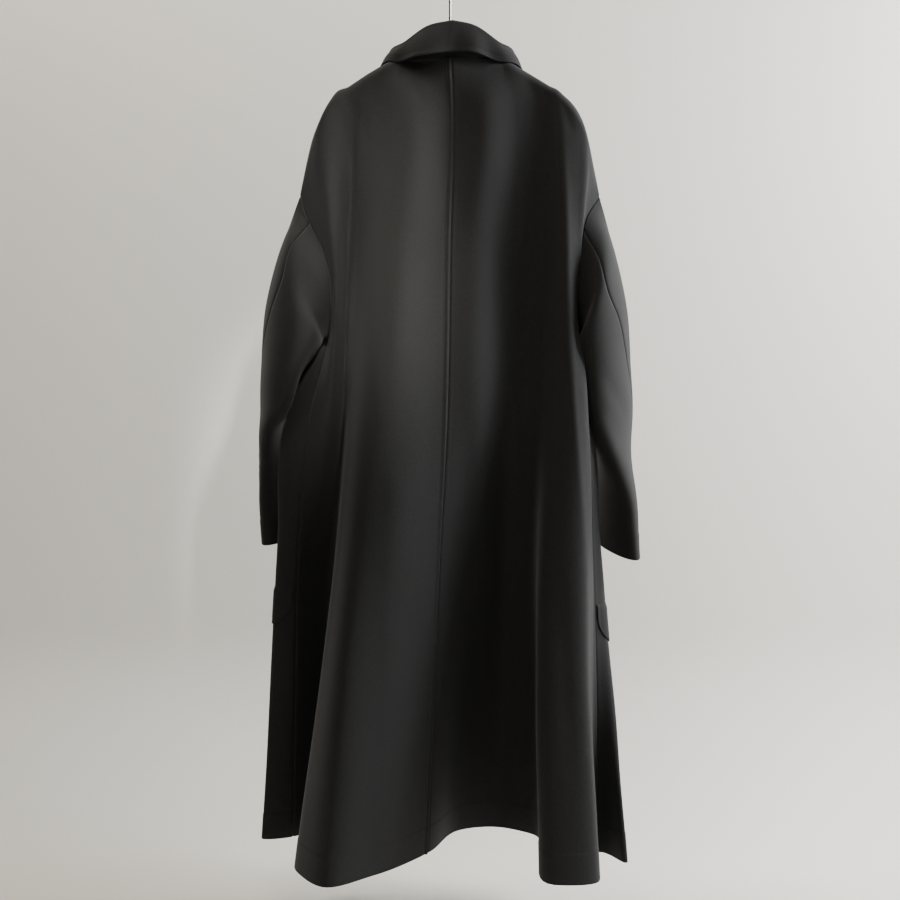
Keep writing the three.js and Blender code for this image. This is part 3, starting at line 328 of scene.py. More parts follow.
class Panel:
    """A sheet of columns and rows. Its top edge is a neckline and the shoulder seam."""

    def __init__(self, folds, shoulder, armhole, seam, back, mirror, behind=0):
        self.shoulder, self.back, self.mirror, self.behind = shoulder, back, mirror, behind
        self.lines = []
        for fold in folds:
            column = fold["column"]
            rounded = column > NECK_COLUMNS if back else column < SHOULDER_COLUMNS
            self.lines.append(fold_line(fold, self.top([column])[0], rounded))
        side = side_line(PANEL_COLUMNS if back else 0, armhole, seam)
        self.lines = [*self.lines, side] if back else [side, *self.lines]
        self.before = self.after = None

    def top(self, columns):
        """The top edge: the neckline or roll line, and the shoulder seam."""
        c = np.asarray(columns, float)
        mirror = np.array((self.mirror, 1, 1))
        if self.back:
            neck = smooth_through(range(len(BACK_NECK)), BACK_NECK, np.clip(c, 0, NECK_COLUMNS)) * mirror
            near = c < 1
            neck[near, 0] = BACK_NECK[0][0] * (1 - c[near]) + neck[near, 0] * c[near]
            shoulder = shoulder_point(self.shoulder, (c - NECK_COLUMNS) / SHOULDER_COLUMNS)
            return np.where((c >= NECK_COLUMNS)[:, None], shoulder, neck)
        past = np.clip(c - SHOULDER_COLUMNS, 0, NECK_COLUMNS)
        neck = smooth_through(range(len(ROLL_LINE)), ROLL_LINE, past) * mirror
        neck[:, 1] += self.behind * past / NECK_COLUMNS
        shoulder = shoulder_point(self.shoulder, 1 - c / SHOULDER_COLUMNS)
        return np.where((c <= SHOULDER_COLUMNS)[:, None], shoulder, neck)

    def spread(self, columns, shares):
        """Points between the fold lines, as rows of shares and columns."""
        points = np.stack([at(shares) for _, at in self.lines])
        before = self.before(shares) if self.before else None
        after = self.after(shares) if self.after else None
        seam = smoothstep(UNDERARM_SHARE, UNDERARM_SHARE + 0.16, shares)[:, None]
        last = len(self.lines) - 1
        across = []
        for i, here in enumerate(points):
            previous = points[i - 1] if i else before
            following = points[i + 1] if i < last else after
            if previous is None:
                across.append(unit(following - here))
                continue
            if following is None:
                across.append(unit(here - previous))
                continue
            to_here = np.linalg.norm(here - previous, axis=1, keepdims=True)
            to_next = np.linalg.norm(here - following, axis=1, keepdims=True)
            both = unit(here - previous) * to_next + unit(following - here) * to_here
            both = both / (to_here + to_next)
            if 0 < i < last:
                across.append(both)
                continue
            own = unit(following - here) if i == 0 else unit(here - previous)
            weight = 1 if i == 0 and self.back else seam
            across.append(unit(own + (both - own) * weight))
        places = [column for column, _ in self.lines]
        out = np.empty((len(shares), len(columns), 3))
        for k, column in enumerate(columns):
            i = int(np.clip(np.searchsorted(places, column, side="left") - 1, 0, last - 1))
            r = (column - places[i]) / (places[i + 1] - places[i])
            chord = np.linalg.norm(points[i + 1] - points[i], axis=1, keepdims=True)
            out[:, k] = hermite(points[i], points[i + 1], across[i] * chord, across[i + 1] * chord, r)
        return out

    def sheet(self, columns, shares):
        """The middle of the cloth, drawn to its top edge near the neck."""
        spots = self.spread(columns, shares)
        top = self.top(columns)
        drop = top[None, :, 2] - height_of(top[None, :, 2], shares[:, None])
        past = 0 if self.back else smoothstep(SHOULDER_COLUMNS, SHOULDER_COLUMNS + 2, columns)[None, :]

        def fade(blend):
            return np.maximum(0, 1 - drop / (NECK_BLEND + (blend - NECK_BLEND) * past)) ** 2
        wide, deep = fade(ROLL_BLEND), fade(ROLL_DEPTH_BLEND)
        offset = top - self.spread(columns, np.zeros(1))[0]
        return spots + offset[None] * np.stack([wide, deep, wide], axis=-1)


panels = {
    "back_left": Panel(BACK_LEFT_FOLDS, SHOULDER_LEFT, ARMHOLE_BACK_LEFT, SIDE_SEAM_LEFT, True, 1),
    "back_right": Panel(BACK_RIGHT_FOLDS, SHOULDER_RIGHT, ARMHOLE_BACK_RIGHT, SIDE_SEAM_RIGHT, True, -1),
    "front_left": Panel(FRONT_LEFT_FOLDS, SHOULDER_LEFT, ARMHOLE_FRONT_LEFT, SIDE_SEAM_LEFT, False, 1),
    "front_right": Panel(FRONT_RIGHT_FOLDS, SHOULDER_RIGHT, ARMHOLE_FRONT_RIGHT, SIDE_SEAM_RIGHT, False, -1,
                         behind=RIGHT_FRONT_BEHIND),
}
for side, other in (("left", "right"), ("right", "left")):
    back, front = panels[f"back_{side}"], panels[f"front_{side}"]
    back.before = panels[f"back_{other}"].lines[1][1]
    back.after = front.lines[1][1]
    front.before = back.lines[-2][1]

# Columns lie close together at the seams, and rows at the shoulder
near_edge = np.array([0, 0.04, 0.1, 0.18, 0.28, 0.4, 0.55])
inner = np.arange(0.75, PANEL_COLUMNS - 0.7, COLUMN_STEP)
BACK_COLUMNS = np.concatenate([near_edge, inner, PANEL_COLUMNS - near_edge[::-1]])
FRONT_COLUMNS = PANEL_COLUMNS - BACK_COLUMNS[::-1]
armhole_shares = UNDERARM_SHARE * np.linspace(0, 1, ARMHOLE_ROWS + 1) ** 2
skirt_shares = UNDERARM_SHARE + (1 - UNDERARM_SHARE) * np.linspace(0, 1, SKIRT_ROWS + 1)[1:]
hem_share = 1 - (1 - UNDERARM_SHARE) * np.array(HEM_ROWS) / UNDERARM_HEIGHT
SHARES = np.unique(np.concatenate([armhole_shares, skirt_shares, hem_share]))


def normals_of(points, sign):
    """Unit normals of a sheet of rows and columns, on its outer side."""
    across = np.empty_like(points)
    across[:, 1:-1] = points[:, 2:] - points[:, :-2]
    across[:, 0] = points[:, 1] - points[:, 0]
    across[:, -1] = points[:, -1] - points[:, -2]
    down = np.empty_like(points)
    down[1:-1] = points[2:] - points[:-2]
    down[0] = points[1] - points[0]
    down[-1] = points[-1] - points[-2]
    return unit(np.cross(across, down) * sign)


def trough(points, line, width, depth):
    """A soft trough along a line of (x, height), fading at both ends. Below 0, the depth makes a ridge."""
    line = np.asarray(line, float)
    spot = points[..., [0, 2]]
    best = np.full(points.shape[:2], np.inf)
    along = np.zeros(points.shape[:2])
    lengths = np.linalg.norm(np.diff(line, axis=0), axis=1)
    start = 0.0
    for a, b, length in zip(line[:-1], line[1:], lengths):
        t = np.clip(((spot - a) @ (b - a)) / length**2, 0, 1)
        away = np.linalg.norm(spot - (a + t[..., None] * (b - a)), axis=-1)
        closer = away < best
        best = np.where(closer, away, best)
        along = np.where(closer, (start + t * length) / lengths.sum(), along)
        start += length
    fade = np.sin(np.pi * np.clip(along * 0.96 + 0.02, 0, 1)) ** 0.7
    return -depth * np.exp(-(best / width) ** 2) * fade


# Creases: line of (x, height), half width and depth in millimetres
CREASES = {
    "back_left": [
        dict(line=[(150, 1096), (128, 1060), (118, 1010)], width=9, depth=1.2),
        dict(line=[(168, 1088), (150, 1040), (146, 980)], width=8, depth=1.4),
        dict(line=[(60, 1130), (44, 1090), (40, 1040)], width=10, depth=0.8),
        dict(line=[(30, 700), (60, 620), (76, 520)], width=26, depth=1.6),
        dict(line=[(60, 420), (52, 300), (60, 160)], width=22, depth=1.3),
        dict(line=[(110, 760), (96, 640), (100, 540)], width=14, depth=-1.6),
        dict(line=[(140, 260), (150, 120), (160, 20)], width=14, depth=1.4),
    ],
    "back_right": [
        dict(line=[(-134, 1112), (-146, 1090), (-150, 1066)], width=6, depth=1.5),
        dict(line=[(-160, 1090), (-167, 960), (-169, 830), (-175, 660), (-188, 440)], width=5, depth=-1.6),
        dict(line=[(-152, 1106), (-166, 1078), (-176, 1040)], width=7, depth=1.6),
        dict(line=[(-118, 1120), (-128, 1090), (-124, 1046)], width=8, depth=1.1),
        dict(line=[(-60, 980), (-66, 860), (-60, 740)], width=16, depth=1.4),
        dict(line=[(-20, 640), (-30, 520), (-24, 400)], width=18, depth=1.5),
        dict(line=[(-150, 420), (-158, 260), (-166, 120)], width=12, depth=1.5),
    ],
    "front_left": [
        dict(line=[(168, 1080), (150, 1010), (140, 930)], width=9, depth=1.6),
        dict(line=[(150, 900), (128, 800), (124, 700)], width=16, depth=1.8),
        dict(line=[(90, 560), (96, 420), (110, 280)], width=18, depth=1.6),
        dict(line=[(20, 840), (40, 780), (70, 740)], width=10, depth=1.2),
        dict(line=[(16, 700), (40, 650), (60, 600)], width=10, depth=1.1),
    ],
    "front_right": [
        dict(line=[(-166, 1080), (-148, 1010), (-138, 930)], width=9, depth=1.6),
        dict(line=[(-150, 900), (-130, 790), (-128, 690)], width=16, depth=1.7),
        dict(line=[(-84, 600), (-92, 440), (-104, 300)], width=18, depth=1.6),
        dict(line=[(-60, 820), (-76, 760), (-100, 720)], width=10, depth=1.2),
    ],
}


def slack(points, seed, amount):
    """The slight unevenness of heavy cloth that hangs free, in millimetres."""
    rng = np.random.default_rng(seed)
    x, y, height = points[..., 0], points[..., 1], points[..., 2]
    total = np.zeros(points.shape[:2])
    for _ in range(6):
        wave_x, wave_h = rng.uniform(60, 170), rng.uniform(170, 420)
        phase = rng.uniform(0, 2 * np.pi)
        lean = rng.uniform(-0.5, 0.5)
        total += np.sin(2 * np.pi * ((x + lean * y) / wave_x + height / wave_h) + phase)
    return amount * total / 6


def reach_along(points):
    """Distance along each row from its first point, in millimetres."""
    steps = np.linalg.norm(np.diff(points, axis=1), axis=-1)
    return np.concatenate([np.zeros((len(points), 1)), np.cumsum(steps, axis=1)], axis=1)


def reach_from_end(points):
    """Distance along each row from its last point."""
    return reach_along(points[:, ::-1])[:, ::-1]


def reach_down(points):
    """Distance along each column from its first point."""
    return reach_along(points.transpose(1, 0, 2)).T


def pressed(distance, width=1.6, depth=1.1):
    """The dip of cloth that is pressed and sewn down beside a seam."""
    return -depth * np.exp(-(distance / width) ** 2)


def stitched(distance, place, depth=0.45, width=0.9):
    """The shallow channel under a row of topstitching."""
    return -depth * np.exp(-((distance - place) / width) ** 2)


sheets = {}
for number, (name, panel) in enumerate(panels.items()):
    points = panel.sheet(BACK_COLUMNS if panel.back else FRONT_COLUMNS, SHARES)
    normals = normals_of(points, panel.mirror)
    height = points[..., 2]
    away = smoothstep(0, 40, reach_along(points)) * smoothstep(0, 40, reach_from_end(points))
    lift = (slack(points, number + 3, BODY_SLACK)
            * smoothstep(TIP_HEIGHT + 140, TIP_HEIGHT - 60, height) * away)
    for crease in CREASES[name]:
        lift = lift + trough(points, **crease)
    sheets[name] = dict(at=points + normals * lift[..., None])
for name, sheet in sheets.items():
    sheet["normal"] = normals_of(sheet["at"], panels[name].mirror)


def share_normals(one, other):
    """Gives the two sides of a seam the same normals, so that their walls meet."""
    shared = unit(one + other)
    one[:] = shared
    other[:] = shared


underarm = int(np.argmin(abs(SHARES - UNDERARM_SHARE)))
share_normals(sheets["back_left"]["normal"][:, 0], sheets["back_right"]["normal"][:, 0])
for side in ("left", "right"):
    back, front = sheets[f"back_{side}"]["normal"], sheets[f"front_{side}"]["normal"]
    share_normals(back[underarm + 1:, -1], front[underarm + 1:, 0])
    on_shoulder = BACK_COLUMNS >= NECK_COLUMNS
    share_normals(back[0, on_shoulder], front[0, ::-1][on_shoulder])

ALL_EDGES = ("top", "end", "bottom", "start")


def rim_loop(rows, columns):
    """The edge of a sheet as one loop: the top, down the end, back along the bottom and up the start."""
    top = [(0, c) for c in range(columns)]
    end = [(r, columns - 1) for r in range(1, rows)]
    bottom = [(rows - 1, c) for c in range(columns - 2, -1, -1)]
    start = [(r, 0) for r in range(rows - 2, 0, -1)]
    return np.array(top + end + bottom + start)


def shell(at, normal, outside, inside, free=()):
    """A closed wall on a sheet, with its free edges rolled and the others cut square."""
    rows, columns = at.shape[:2]
    outer = at + normal * np.broadcast_to(outside, (rows, columns))[..., None]
    inner = at - normal * np.broadcast_to(inside, (rows, columns))[..., None]
    loop = rim_loop(rows, columns)
    r, c = loop[:, 0], loop[:, 1]
    outward = np.zeros((len(loop), 3))
    rolled = np.zeros(len(loop))
    for edge, on_edge, step in (
        ("top", r == 0, at[0] - at[1]), ("bottom", r == rows - 1, at[-1] - at[-2]),
        ("start", c == 0, at[:, 0] - at[:, 1]), ("end", c == columns - 1, at[:, -1] - at[:, -2]),
    ):
        index = c[on_edge] if edge in ("top", "bottom") else r[on_edge]
        if edge in free:
            outward[on_edge] += unit(step)[index]
            rolled[on_edge] = 1
    outward = unit(outward) * rolled[:, None]
    middle = (outer[r, c] + inner[r, c]) / 2
    half = (outer[r, c] - inner[r, c]) / 2
    radius = np.linalg.norm(half, axis=1, keepdims=True)
    rims = [middle + half * math.cos(a) + outward * radius * math.sin(a) for a in np.radians((45, 90, 135))]
    size = rows * columns
    verts = np.concatenate([outer.reshape(-1, 3), inner.reshape(-1, 3), *rims])
    grid = np.arange(size).reshape(rows, columns)
    a, b, d, e = grid[:-1, :-1], grid[:-1, 1:], grid[1:, 1:], grid[1:, :-1]
    faces = [np.stack([a, b, d, e], -1).reshape(-1, 4), np.stack([a, e, d, b], -1).reshape(-1, 4) + size]
    flat = grid[r, c]
    count = len(loop)
    rings = [flat, *[2 * size + k * count + np.arange(count) for k in range(3)], flat + size]
    for one, two in zip(rings[:-1], rings[1:]):
        faces.append(np.stack([one, two, np.roll(two, -1), np.roll(one, -1)], -1))
    return verts, np.concatenate(faces)


def make_piece(name, parts, material):
    """One mesh of millimetre parts, each of them points and faces."""
    verts, faces, start = [], [], 0
    for points, corners in parts:
        verts.append(points)
        faces.extend([int(index) + start for index in corner] for corner in corners)
        start += len(points)
    placed = (np.concatenate(verts) - (0, 0, HOOK_HEIGHT)) * MM
    mesh = bpy.data.meshes.new(name)
    mesh.from_pydata(placed.tolist(), [], faces)
    mesh.update()
    mesh.shade_smooth()
    mesh.materials.append(material)
    piece = bpy.data.objects.new(name, mesh)
    bpy.context.scene.collection.objects.link(piece)
    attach(piece, "root")
    return piece


# Materials

class Value:
    """A socket of a material, for sums on it."""

    def __init__(self, net, socket):
        self.net, self.socket = net, socket

    def sum(self, operation, first, second):
        return self.net.node("ShaderNodeMath", dict(operation=operation), {0: first, 1: second})

    def __add__(self, other):
        return self.sum("ADD", self, other)

    def __mul__(self, other):
        return self.sum("MULTIPLY", self, other)

    __radd__, __rmul__ = __add__, __mul__


class Finish:
    """A material, built round one shader."""

    def __init__(self, name, **fixed):
        self.material = bpy.data.materials.new(name)
        self.material.use_nodes = True
        self.tree = self.material.node_tree
        self.shader = self.tree.nodes["Principled BSDF"]
        self.place = self.node("ShaderNodeTexCoord", output="Object")
        for key, value in fixed.items():
            self.shader.inputs[key.replace("_", " ").title().replace("Ior", "IOR")].default_value = value

    def node(self, kind, settings=None, sockets=None, output=0):
        made = self.tree.nodes.new(kind)
        for key, value in (settings or {}).items():
            setattr(made, key, value)
        for key, value in (sockets or {}).items():
            self.feed(made.inputs[key], value)
        return Value(self, made.outputs[output])

    def feed(self, socket, value):
        if isinstance(value, Value):
            self.tree.links.new(value.socket, socket)
        else:
            socket.default_value = value

    def scaled(self, scale):
        return self.node("ShaderNodeMapping", None, {"Vector": self.place, "Scale": scale})

    def noise(self, scale, detail=2.0, stretch=(1, 1, 1), roughness=0.5):
        return self.node("ShaderNodeTexNoise", None, {
            "Vector": self.scaled(stretch), "Scale": scale, "Detail": detail, "Roughness": roughness})

    def ramp(self, value, low, high):
        return self.node("ShaderNodeMapRange", None, {0: value, 1: low, 2: high})

    def mixed(self, factor, one, two):
        one, two = [(*colour, 1) if isinstance(colour, tuple) else colour for colour in (one, two)]
        return self.node("ShaderNodeMix", dict(data_type="RGBA"), {0: factor, 6: one, 7: two}, output=2)

    def bumps(self, height, distance, strength=1.0):
        self.feed(self.shader.inputs["Normal"], self.node("ShaderNodeBump", None, {
            "Height": height, "Distance": distance, "Strength": strength}))

    def colour(self, value):
        self.feed(self.shader.inputs["Base Color"], value)

    def rough(self, value):
        self.feed(self.shader.inputs["Roughness"], value)


def wool_cloth():
    """Black wool melton: a short felted nap brushed downwards, with a soft lustre."""
    wool = Finish("black_wool", sheen_weight=0.1, sheen_roughness=0.5, sheen_tint=(0.72, 0.72, 0.78, 1),
                  specular_ior_level=0.25, ior=1.45)
    fibres = wool.noise(620, 3, (1, 1, 0.45), 0.6)
    flecks = wool.noise(1500, 2)
    clouds = wool.noise(14, 3)
    tone = wool.ramp(fibres * 0.6 + flecks * 0.4, 0.36, 0.66)
    ground = wool.mixed(tone, (0.005, 0.0052, 0.0053), (0.017, 0.0168, 0.0165))
    wool.colour(wool.mixed(wool.ramp(clouds, 0.35, 0.7) * 0.35, ground, (0.0125, 0.0125, 0.013)))
    wool.rough(wool.ramp(fibres, 0.2, 0.8) * 0.16 + 0.72)
    wool.bumps(fibres * 0.7 + flecks * 0.3, 0.0006, 0.5)
    return wool.material


def sewing_thread():
    thread = Finish("black_thread", roughness=0.5, sheen_weight=0.2)
    twist = thread.noise(2600, 1, (1, 1, 0.4))
    thread.colour(thread.mixed(twist, (0.004, 0.004, 0.004), (0.012, 0.012, 0.012)))
    thread.bumps(twist, 0.0002, 0.5)
    return thread.material


def polished_horn():
    horn = Finish("dark_horn", ior=1.54, coat_weight=0.4, coat_roughness=0.12)
    streaks = horn.noise(70, 4, (1, 1, 5), 0.6)
    horn.colour(horn.mixed(horn.ramp(streaks, 0.3, 0.75), (0.006, 0.005, 0.004), (0.055, 0.035, 0.02)))
    horn.rough(horn.ramp(streaks, 0.2, 0.8) * 0.15 + 0.22)
    horn.bumps(horn.noise(900), 0.00008, 0.4)
    return horn.material


def lacquered_wood():
    wood = Finish("lacquered_wood", ior=1.5, coat_weight=0.35, coat_roughness=0.18)
    grain = wood.noise(60, 5, (0.12, 1, 2.2), 0.62)
    pores = wood.noise(420, 2, (0.05, 1, 1))
    light = wood.mixed(wood.ramp(grain, 0.3, 0.72), (0.13, 0.062, 0.028), (0.33, 0.19, 0.095))
    wood.colour(wood.mixed(wood.ramp(pores, 0.56, 0.74) * 0.5, light, (0.07, 0.032, 0.015)))
    wood.rough(wood.ramp(grain, 0.2, 0.8) * 0.14 + 0.34)
    wood.bumps(pores * 0.6 + grain * 0.4, 0.00025, 0.4)
    return wood.material


def plated_wire():
    steel = Finish("plated_wire", metallic=1.0)
    marks = steel.noise(900, 2, (1, 1, 0.1))
    steel.colour(steel.mixed(marks, (0.34, 0.335, 0.33), (0.52, 0.51, 0.5)))
    steel.rough(steel.ramp(steel.noise(60), 0.2, 0.8) * 0.15 + 0.22)
    return steel.material


def painted_wall():
    wall = Finish("painted_wall", roughness=0.9)
    roller = wall.noise(160, 3)
    wall.colour(wall.mixed(roller, (0.76, 0.74, 0.69), (0.8, 0.78, 0.73)))
    wall.bumps(roller, 0.0004, 0.25)
    return wall.material


wool, thread, horn = wool_cloth(), sewing_thread(), polished_horn()

# The four panels of the body


def outer_lift(points, seam_end, hem=True):
    """How far the outer skin stands from the middle of the cloth, with its seams and turned hem."""
    height = points[..., 2]
    out = CLOTH / 2 + pressed(reach_along(points))
    if seam_end:
        out = out + pressed(reach_from_end(points))
    if hem:
        out = out + HEM_LIFT * smoothstep(HEM, HEM - 3, height) + stitched(height, HEM, 0.25, 1.6)
    return out


def sewn(name, part):
    """A piece of the coat in wool, which takes the place of its part from model.glb."""
    piece = make_piece(name, [part], wool)
    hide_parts(name.replace("_cloth", ""))


def threads(name, parts):
    """Rows of sewing thread, which go with the wool."""
    make_piece(name, parts, thread)


def body_panel(name):
    """The wall of one panel, with its seams, stitches and turned hem."""
    panel, sheet = panels[name], sheets[name]
    at, normal = sheet["at"], sheet["normal"]
    out = outer_lift(at, panel.back)
    reach = reach_along(at)
    if panel.back:
        if panel.mirror > 0:
            out = out + WELT_LIFT * smoothstep(0.6, 1.6, reach) * smoothstep(6.2, 5.0, reach)
            out = out + stitched(reach, WELT_STITCH, 0.5, 1.1)
        else:
            out = out + stitched(reach, TOP_STITCH, 0.2, 1.0)
    else:
        out = out + stitched(reach_from_end(at), TOP_STITCH, 0.35, 1.0) * (at[..., 2] < ROLL_LINE[-1][2])
    inside = np.full(out.shape, CLOTH / 2)
    free = ("bottom",) if panel.back else ("bottom", "end")
    verts, faces = shell(at, normal, out, inside, free)
    if panel.mirror < 0:
        faces = faces[:, ::-1]
    return verts, faces


CUTS = {
    "back_left": ((0.40, 1.20), 0.38), "back_right": ((0.44, 1.20), 0.41),
    "front_left": ((0.50, 1.20), 0.41), "front_right": ((0.48, 1.20), 0.40),
}
for name, (flat, area) in CUTS.items():
    sewn(f"{name}_cloth", body_panel(name))

# Sleeves


def make_sleeve(side):
    """A sleeve as rows of points round it, from the armhole to the cuff."""
    table = SLEEVE_LEFT if side == "left" else SLEEVE_RIGHT
    mirror = 1 if side == "left" else -1
    back, front = sheets[f"back_{side}"]["at"], sheets[f"front_{side}"]["at"]
    rows = np.arange(underarm + 1)
    ring = np.concatenate([back[rows, -1], front[rows[::-1][1:-1], 0]])
    place = np.sqrt(SHARES[rows] / UNDERARM_SHARE)
    places = np.concatenate([place, 2 - place[::-1][1:-1]])
    step = np.linalg.norm(np.roll(ring, -1, axis=0) - ring, axis=1)
    angles = 2 * np.pi * np.concatenate([[0], np.cumsum(step)[:-1]]) / step.sum()
    stations = [ring]
    for row in table:
        height, x, y, out_half, back_half, turn, slant, lean, twist, hollow = row
        a = angles - math.radians(twist)
        t = math.radians(turn)
        out, rear = out_half * np.cos(a) + hollow * np.minimum(np.cos(a), 0) ** 2, back_half * np.sin(a)
        stations.append(np.stack([x + mirror * (out * math.cos(t) + rear * math.sin(t)),
                                  y + rear * math.cos(t) - out * math.sin(t),
                                  height + slant * np.cos(a) - lean * np.sin(a)], -1))
    stations = np.stack(stations)
    down = np.linspace(0, len(table), SLEEVE_ROWS + 1)
    down = np.unique(np.concatenate([down, [0.03, 0.07, 0.12, len(table) - 0.05, len(table) - 0.02]]))
    flat = smooth_through(range(len(table) + 1), stations.reshape(len(table) + 1, -1), down)
    return seam_in_place(flat.reshape(len(down), len(ring), 3), places, down, side), places, mirror


def seam_in_place(tube, places, down, side):
    """The same sleeve with its columns moved round, so that one of them runs where the back seam does."""
    seam = SEAM_LEFT if side == "left" else SEAM_RIGHT
    wanted = smooth_through([row[0] for row in seam], [(row[1], 0) for row in seam], down)[:, 0]
    around = np.append(places, 2)
    for row, place in enumerate(wanted):
        spots = np.vstack([tube[row], tube[row, :1]])
        moved = np.interp(places, (0, BACK_SEAM, FRONT_SEAM, 2), (0, place, FRONT_SEAM, 2))
        tube[row] = np.stack([np.interp(moved, around, spots[:, k]) for k in range(3)], -1)
    return tube


SLEEVE_CREASES = {
    "left": [
        dict(line=[(205, 870), (192, 820), (190, 770)], width=10, depth=-2.5),
        dict(line=[(250, 700), (232, 660), (238, 600)], width=12, depth=2.0),
        dict(line=[(262, 610), (276, 570), (270, 520)], width=14, depth=1.6),
    ],
    "right": [
        dict(line=[(-208, 640), (-232, 590), (-254, 540)], width=12, depth=-2.2),
        dict(line=[(-214, 700), (-240, 660), (-262, 630)], width=12, depth=1.6),
        dict(line=[(-236, 520), (-254, 500), (-268, 470)], width=10, depth=1.2),
    ],
}


def sleeve_pieces(side):
    """The under and top pieces of a sleeve, which meet at its two seams."""
    tube, places, mirror = make_sleeve(side)
    wrapped = np.concatenate([tube[:, -1:], tube, tube[:, :1]], axis=1)
    normal = normals_of(wrapped, -mirror)[:, 1:-1]
    from_armhole = smoothstep(0, 10, np.arange(len(tube)))[:, None]
    lift = slack(tube, SLEEVE_SEED[side], SLEEVE_SLACK) * from_armhole
    for crease in SLEEVE_CREASES[side]:
        lift = lift + trough(tube, **crease) * (normal[..., 1] > 0.1)
    tube = tube + normal * lift[..., None]
    wrapped = np.concatenate([tube[:, -1:], tube, tube[:, :1]], axis=1)
    normal = normals_of(wrapped, -mirror)[:, 1:-1]
    back_seam = int(np.argmin(abs(places - BACK_SEAM)))
    front_seam = int(np.argmin(abs(places - FRONT_SEAM)))
    count = tube.shape[1]
    for name, first, last, width, length in (
        ("under_sleeve", back_seam, front_seam, 0.21, 0.54),
        ("top_sleeve", front_seam, back_seam + count, 0.16, 0.56),
    ):
        index = np.arange(first, last + 1) % count
        at, facing = tube[:, index], normal[:, index]
        down = reach_down(at)
        to_cuff = down[-1][None] - down
        out = outer_lift(at, True, False) + pressed(down) + stitched(down, TOP_STITCH, 0.3, 1.0)
        out = out + HEM_LIFT * smoothstep(CUFF, CUFF - 3, to_cuff) + stitched(to_cuff, CUFF, 0.2, 1.6)
        if name == "top_sleeve":
            out = out + stitched(reach_from_end(at), 6, 0.25, 1.0)
        verts, faces = shell(at, facing, out, np.full(out.shape, CLOTH / 2), ("bottom",))
        if mirror > 0:
            faces = faces[:, ::-1]
        sewn(f"{name}_{side}_cloth", (verts, faces))


for side in ("left", "right"):
    sleeve_pieces(side)

# The collar


def collar_curve(part, places):
    """A line of the collar. Places run from its left point, 5, through the centre back to the right, -5."""
    side = np.abs(places)
    spot = smooth_through(range(len(COLLAR)), [row[part] for row in COLLAR], side)
    middle = COLLAR[0][part][0]
    mirrored = -spot[:, 0] + 2 * middle * np.maximum(0, 1 - side)
    spot[:, 0] = np.where(places < 0, mirrored, spot[:, 0]) + (0 if part == "neck" else COLLAR_LEAN)
    return spot


def collar_sheet():
    """The collar from its neck seam up the stand, over the fold and down the fall."""
    columns = np.linspace(NECK_COLUMNS, -NECK_COLUMNS, COLLAR_COLUMNS)
    neck, fold, edge = (collar_curve(part, columns) for part in ("neck", "fold", "edge"))
    up = np.array((0, 0, 1.0))
    for k, spot in enumerate(neck):
        _, direction = nearest_cloth(spot)
        neck[k] = spot - direction * COLLAR_INSIDE - up * COLLAR_BELOW
    out = edge - neck
    out[:, 2] = 0
    out = unit(out)
    middle = fold - up * COLLAR_ROLL
    rows = [neck + (middle - out * COLLAR_ROLL - neck) * t - out * 1.2 * math.sin(math.pi * t)
            for t in np.linspace(0, 1, COLLAR_STAND_ROWS)]
    rows += [middle + COLLAR_ROLL * (out * math.cos(a) + up * math.sin(a))
             for a in np.radians(np.arange(165, 0, -15))]
    top = middle + out * COLLAR_ROLL
    edge = laid(edge, columns)
    rows += [top + (edge - top) * t + out * 1.6 * math.sin(math.pi * min(t * 1.1, 1))
             for t in np.linspace(0, 1, COLLAR_FALL_ROWS)]
    return np.stack(rows)


def laid(edge, columns):
    """The outer edge of the collar, drawn in to the coat evenly along its length."""
    drawn = np.zeros_like(edge)
    for _ in range(3):
        for k, spot in enumerate(edge + drawn):
            near, direction = nearest_cloth(spot)
            drawn[k] -= direction * ((spot - near) @ direction - COLLAR_OFF_CLOTH)
        for _ in range(COLLAR_SMOOTHING):
            drawn[1:-1] = (drawn[:-2] + drawn[1:-1] * 2 + drawn[2:]) / 4
    return edge + drawn * (0.92 + 0.08 * smoothstep(1.0, 2.2, np.abs(columns)))[:, None]


near_points, near_normals = [], []
for sheet in sheets.values():
    high = sheet["at"][..., 2] > COLLAR_CLOTH_ABOVE
    near_points.extend(sheet["at"][high])
    near_normals.extend(sheet["normal"][high])
cloth_near_neck = KDTree(len(near_points))
for number, spot in enumerate(near_points):
    cloth_near_neck.insert(spot, number)
cloth_near_neck.balance()


def nearest_cloth(spot):
    """The nearest place on the coat, and the direction out of it."""
    number = cloth_near_neck.find(spot)[1]
    return near_points[number], near_normals[number]


collar = collar_sheet()
collar_normal = normals_of(collar, -1)
fall = reach_down(collar)
to_edge = fall[-1][None] - fall
ends = np.minimum(reach_along(collar), reach_from_end(collar))
collar_out = (np.full(fall.shape, CLOTH / 2) + stitched(to_edge, TOP_STITCH, 0.35, 0.9)
              + stitched(ends, TOP_STITCH, 0.35, 0.9) + slack(collar, 21, COLLAR_SLACK))
verts, faces = shell(collar, collar_normal, collar_out, np.full(fall.shape, CLOTH / 2), ALL_EDGES)
sewn("collar_cloth", (verts, faces[:, ::-1]))

# Pocket flaps, laid on the fronts


